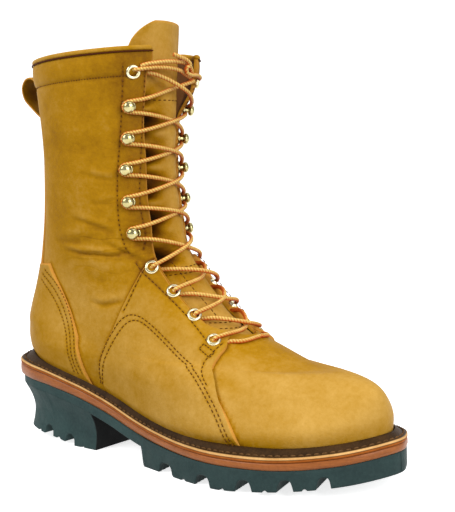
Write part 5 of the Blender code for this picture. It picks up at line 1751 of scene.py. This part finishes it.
def build_welt():
    """The profile carried round the boot between both loops, and its row of stitches."""
    rows = [welt_point(share, height * MM) for share, height, *_ in WELT_PROFILE]
    points = np.stack(rows, axis=1)
    points = np.concatenate([points, points[:1]])
    edge, stain = (np.broadcast_to(WELT_PROFILE[:, k], points.shape[:2]) for k in (2, 3))
    numbers = {"edge": edge, "stain": stain}
    faces = [grid_faces(WELT_STEPS + 1, len(rows), around=True)]
    obj = piece("welt_strip", points, faces, [welt_leather], numbers=numbers, sharp=70)
    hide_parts("welt")
    lap = np.append(np.arange(WELT_STEPS), 0)
    path = welt_point(0.70, 3.6 * MM)[lap]
    up = np.repeat([[0, 0, 1.0]], len(path), axis=0)
    thread = sew(path, up, pitch=4.6 * MM, long=3.6 * MM, thread=0.6 * MM)
    thread_piece("welt_stitches", [thread], welt_thread)


build_welt()

# %% [markdown]
# Under the welt lies a layer of sole leather, thicker below the heel. Its edge is trimmed, stained and rubbed
# round, with a dark line where it meets the welt.

# %% Midsole and insole
MIDSOLE_POINTS = 300
INSOLE_ROWS, INSOLE_COLUMNS = 121, 25
MIDSOLE_PROFILE = np.array(
    [
        # inset in mm, share of the thickness, darkening
        (14, 0.00, 0), (0.9, 0.00, 0.2), (0.25, 0.08, 0), (-0.15, 0.30, 0), (-0.2, 0.50, 0),
        (-0.1, 0.75, 0), (0.1, 0.88, 0.1), (0.5, 0.95, 0.6), (1.2, 1.00, 0.8), (14, 1.00, 0.5),
    ]
)  # fmt: skip


def build_midsole():
    """The profile carried round the sole's outline, inset along its normal."""
    loop, out = sole_loop(MIDSOLE_POINTS, 1.0)
    rows = []
    for inset, share, _ in MIDSOLE_PROFILE:
        plan = loop - inset * MM * out
        height = seat(loop[:, 0]) + share * (midsole_thick(loop[:, 0]) + 2 * CLEARANCE)
        rows.append(np.column_stack([plan, height]))
    points = np.stack(rows, axis=1)
    points = np.concatenate([points, points[:1]])
    # darker at the top of the edge, where it meets the welt
    stain = np.broadcast_to(MIDSOLE_PROFILE[:, 2], points.shape[:2])
    faces = [grid_faces(len(points), len(rows), around=True)]
    obj = piece("midsole_layer", points, faces, [midsole_leather], numbers={"shade": stain}, sharp=70)
    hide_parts("midsole")


def build_insole():
    """Leather the foot stands on: strips across between paired points of the upper's inner foot line."""
    turn = np.linspace(0.5, 0.0, INSOLE_ROWS)
    sides = []
    for u in (turn, 1 - turn):
        line = upper_point(u, 0 * u) - (WALL + 2 * CLEARANCE) * upper_normal(u, 0 * u)
        sides.append(line[:, :2])
    across = np.linspace(0, 1, INSOLE_COLUMNS)[None, :, None]
    plan = sides[0][:, None] * (1 - across) + sides[1][:, None] * across
    dish = 1.2 * MM * (1 - (2 * across - 1) ** 4)
    top = np.concatenate([plan, bed(plan[..., :1]) + 4 * MM - dish], axis=-1)
    low = np.concatenate([plan, bed(plan[..., :1])], axis=-1)[:, ::-1]
    ring = np.concatenate([top, low], axis=1)
    faces = [grid_faces(INSOLE_ROWS, 2 * INSOLE_COLUMNS, around=True)]
    obj = piece("insole_sheet", ring, faces, [inner_leather])
    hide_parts("insole")


build_midsole()
build_insole()

# %% [markdown]
# The sole is moulded rubber: a lugged forefoot and a bare waist in one, and the heel as a block of its own.
# An underside is a height over the plan: the floor line, less arched grooves that run out to the sides, a
# middle channel with studs, and small nicks across the lugs.

# %% Tread
LUG_DEPTH = 7 * MM
FOREFOOT_BACK = 144 * MM
HEEL_FRONT = 91 * MM
SOLE_STATIONS, SOLE_COLUMNS = 480, 130
HEEL_STATIONS, HEEL_COLUMNS, HEEL_LEVELS = 150, 90, 14
LUG_GROOVES = (
    # edge_x, middle_x, width, side
    (169, 160, 12, -1), (203, 194, 11, -1), (233, 222, 10, -1), (260, 246, 9, -1), (284, 267, 8, -1),
    (166, 157, 11, 1), (198, 189, 11, 1), (228, 217, 10, 1), (257, 244, 9, 1), (279, 264, 7, 1),
)  # fmt: skip
LUG_NICKS = (
    # edge_x, middle_x, side
    (186, 177, -1), (218, 208, -1), (247, 234, -1), (272, 257, -1),
    (182, 173, 1), (213, 203, 1), (243, 230, 1),
)  # fmt: skip
HEEL_GROOVES = ((42, 8, -1), (64, 8, -1), (42, 8, 1), (64, 8, 1))
HEEL_NICKS = ((31, -1), (53, -1), (77, -1), (31, 1), (53, 1), (77, 1))
HEEL_DRAW = ((0, 0), (0.25, 4.5), (0.5, 7), (0.8, 6.5), (1, 5))
HEEL_ROCKER = ((0, 8), (25, 6), (55, 3), (68, 0), (120, 0))


def groove(x, y, edge_x, middle_x, width, side, deep):
    """Arched cut along a slanting line on one side; deepest on the line and nothing half a width away."""
    reach = np.clip((side * y / MM - 3) / 47, -0.2, 1.4)
    line = MM * (middle_x + (edge_x - middle_x) * reach)
    off = np.abs(x - line) / (0.55 * width * MM)
    arch = np.sqrt(np.clip(1 - off**3, 0, 1))
    return deep * arch * eased(2 * MM, 5 * MM, side * y)


def studs(x, y, pitch, tall):
    """Small pyramids in rows."""
    fx = np.abs(np.mod(x / pitch, 1) - 0.5)
    fy = np.abs(np.mod(y / pitch, 1) - 0.5)
    return tall * np.clip(1.15 - 2.3 * np.maximum(fx, fy), 0, 1)


def forefoot_cut(x, y):
    """Depth of the tread's cuts at a place under the forefoot."""
    cuts = [groove(x, y, *row, LUG_DEPTH) for row in LUG_GROOVES]
    cuts += [groove(x, y, edge, middle, 2.6, side, 1.1 * MM) for edge, middle, side in LUG_NICKS]
    cuts = np.max(cuts, axis=0)
    inside = eased(150 * MM, 154 * MM, x) * eased(264 * MM, 258 * MM, x)
    inside = inside * eased(8.5 * MM, 6.5 * MM, np.abs(y))
    channel = inside * (0.7 * LUG_DEPTH - studs(x, y, 6.5 * MM, 3 * MM))
    return np.maximum(cuts, channel)


def under_sole(x, y):
    """Height of the outsole's underside: floor line and cuts in front, bare waist behind the first lug."""
    front = tread(x) + forefoot_cut(x, y)
    waist = seat(x) - WAIST_RUBBER
    share = eased(FOREFOOT_BACK - 1.2 * MM, FOREFOOT_BACK + 1.2 * MM, x)
    return np.minimum(share * front + (1 - share) * waist, seat(x) - 2.5 * MM)


print(len(LUG_GROOVES), "grooves part the lugs of the forefoot")

# %% [markdown]
# The outsole is a row of closed rings across the sole, one at each station: wall, underside, wall and top.
# They follow the sole's own outline, so that the grooves come out in its wall as arches.


# %% Outsole
def side_lines(x):
    """Reach of the sole's outer and inner edge at each station along it."""
    loop = sole_loop(OUTLINE_POINTS)[0]
    outer = loop[: OUTLINE_POINTS + 1]
    inner = np.concatenate([loop[OUTLINE_POINTS:], loop[:1]])[::-1]
    return np.interp(x, outer[:, 0], outer[:, 1]), np.interp(x, inner[:, 0], inner[:, 1])


def sole_rings(walls, under, columns):
    """Closed ring at each station: outer wall down, underside across, inner wall up, plain top back."""
    outer, inner = walls
    share = np.linspace(0, 1, columns)[1:-1, None, None]
    plan = outer[-1, :, :2] * (1 - share) + inner[-1, :, :2] * share
    across = np.concatenate([plan, under(plan[..., 0], plan[..., 1])[..., None]], axis=-1)
    ring = np.concatenate([outer, across, inner[::-1]])
    return np.swapaxes(ring, 0, 1)


def build_outsole():
    """Rings at stations along the sole, joined from heel to toe and closed by a fan at the toe."""
    x = HEEL_TIP[0] + (TOE_TIP[0] - HEEL_TIP[0]) * crowded(SOLE_STATIONS, 0.45)
    down = np.array((0, 0.06, 0.15, 0.35, 0.6, 0.85, 0.95, 1.0))[:, None]
    walls = []
    for y in side_lines(x):
        high, low = seat(x), under_sole(x, y)
        z = high + down * (low - high)
        inset = np.array((0.5, 0.1, 0, 0, 0, 0, 0.1, 0.5))[:, None] * MM * np.sign(y)
        walls.append(np.stack(np.broadcast_arrays(x[None], y[None] - inset, z), axis=-1))
    rings = sole_rings(walls, under_sole, SOLE_COLUMNS)
    faces = [grid_faces(len(x), rings.shape[1], around=True), end_fan(len(x), rings.shape[1])]
    place, wall = np.arange(rings.shape[1]), len(down) - 1
    below = (place >= wall) & (place < rings.shape[1] - wall)
    front = rings[..., 0] > FOREFOOT_BACK + 2 * MM
    # painted shade: near black under the waist, dark under the lugs; the forefoot's walls a little darker
    dark = np.where(below, np.where(front, 0.5, 0.95), 0.2 * front)
    dark = np.append(dark, dark[-1].mean())
    points = np.concatenate([rings.reshape(-1, 3), rings[-1:].mean(axis=1)])
    obj = piece("outsole_rubber", points, faces, [sole_rubber], numbers={"shade": dark}, sharp=50)
    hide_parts("outsole")


build_outsole()

# %% [markdown]
# The heel block is moulded on its own. Its walls draw in below the top, it is worn up at the back, and its
# front, the breast, is flat.


# %% Heel
def heel_floor(x):
    """Floor line of the heel, worn up at the back."""
    rocker = MM * np.array(HEEL_ROCKER)
    return np.interp(x, rocker[:, 0], rocker[:, 1])


def under_heel(x, y):
    """Height of the heel's underside: worn up at the back, with side grooves, nicks and a studded channel."""
    cuts = [groove(x, y, place, place + 3, wide, side, LUG_DEPTH) for place, wide, side in HEEL_GROOVES]
    cuts += [groove(x, y, place, place + 3, 2.4, side, 1.2 * MM) for place, side in HEEL_NICKS]
    inside = eased(26 * MM, 30 * MM, x) * eased(82 * MM, 78 * MM, x) * eased(7 * MM, 5 * MM, np.abs(y))
    channel = inside * (0.7 * LUG_DEPTH - studs(x, y, 6 * MM, 3 * MM))
    return heel_floor(x) + np.maximum(np.max(cuts, axis=0), channel)


def build_heel():
    """Rings at stations of the heel, drawn in below its top, and closed by the flat breast in front."""
    share = 1 - np.cos(0.5 * np.pi * np.linspace(0, 1, HEEL_STATIONS))
    x = HEEL_TIP[0] + (HEEL_FRONT - HEEL_TIP[0]) * share
    levels = np.linspace(0, 1, HEEL_LEVELS)
    walls = []
    for y in side_lines(x):
        draw = MM * through(*np.array(HEEL_DRAW).T, levels)[:, None] + 0 * x
        for _ in range(2):
            along = HEEL_FRONT + (x - HEEL_FRONT)[None] * (1 - draw / (HEEL_FRONT - HEEL_TIP[0]))
            wide = y[None] * (1 - 0.7 * draw / np.abs(y).max())
            high = seat(np.clip(along, 0, None)) - WAIST_RUBBER + 0.3 * MM
            z = high + levels[:, None] * (under_heel(along[-1], wide[-1]) - high)
            draw = MM * through(*np.array(HEEL_DRAW).T, (high - z) / (high - heel_floor(along)))
        walls.append(np.stack([along, wide, z], axis=-1))
    rings = sole_rings(walls, under_heel, HEEL_COLUMNS)
    count = rings.shape[1]
    breast = (len(x) - 1) * count + np.arange(count)
    faces = [grid_faces(len(x), count, around=True), breast[None]]
    # painted shadow on the flat breast
    dark = eased(HEEL_FRONT - 0.6 * MM, HEEL_FRONT - 0.1 * MM, rings[..., 0])
    obj = piece("heel_rubber", rings, faces, [sole_rubber], numbers={"shade": dark}, sharp=50)
    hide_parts("heel")


build_heel()

# %% [markdown]
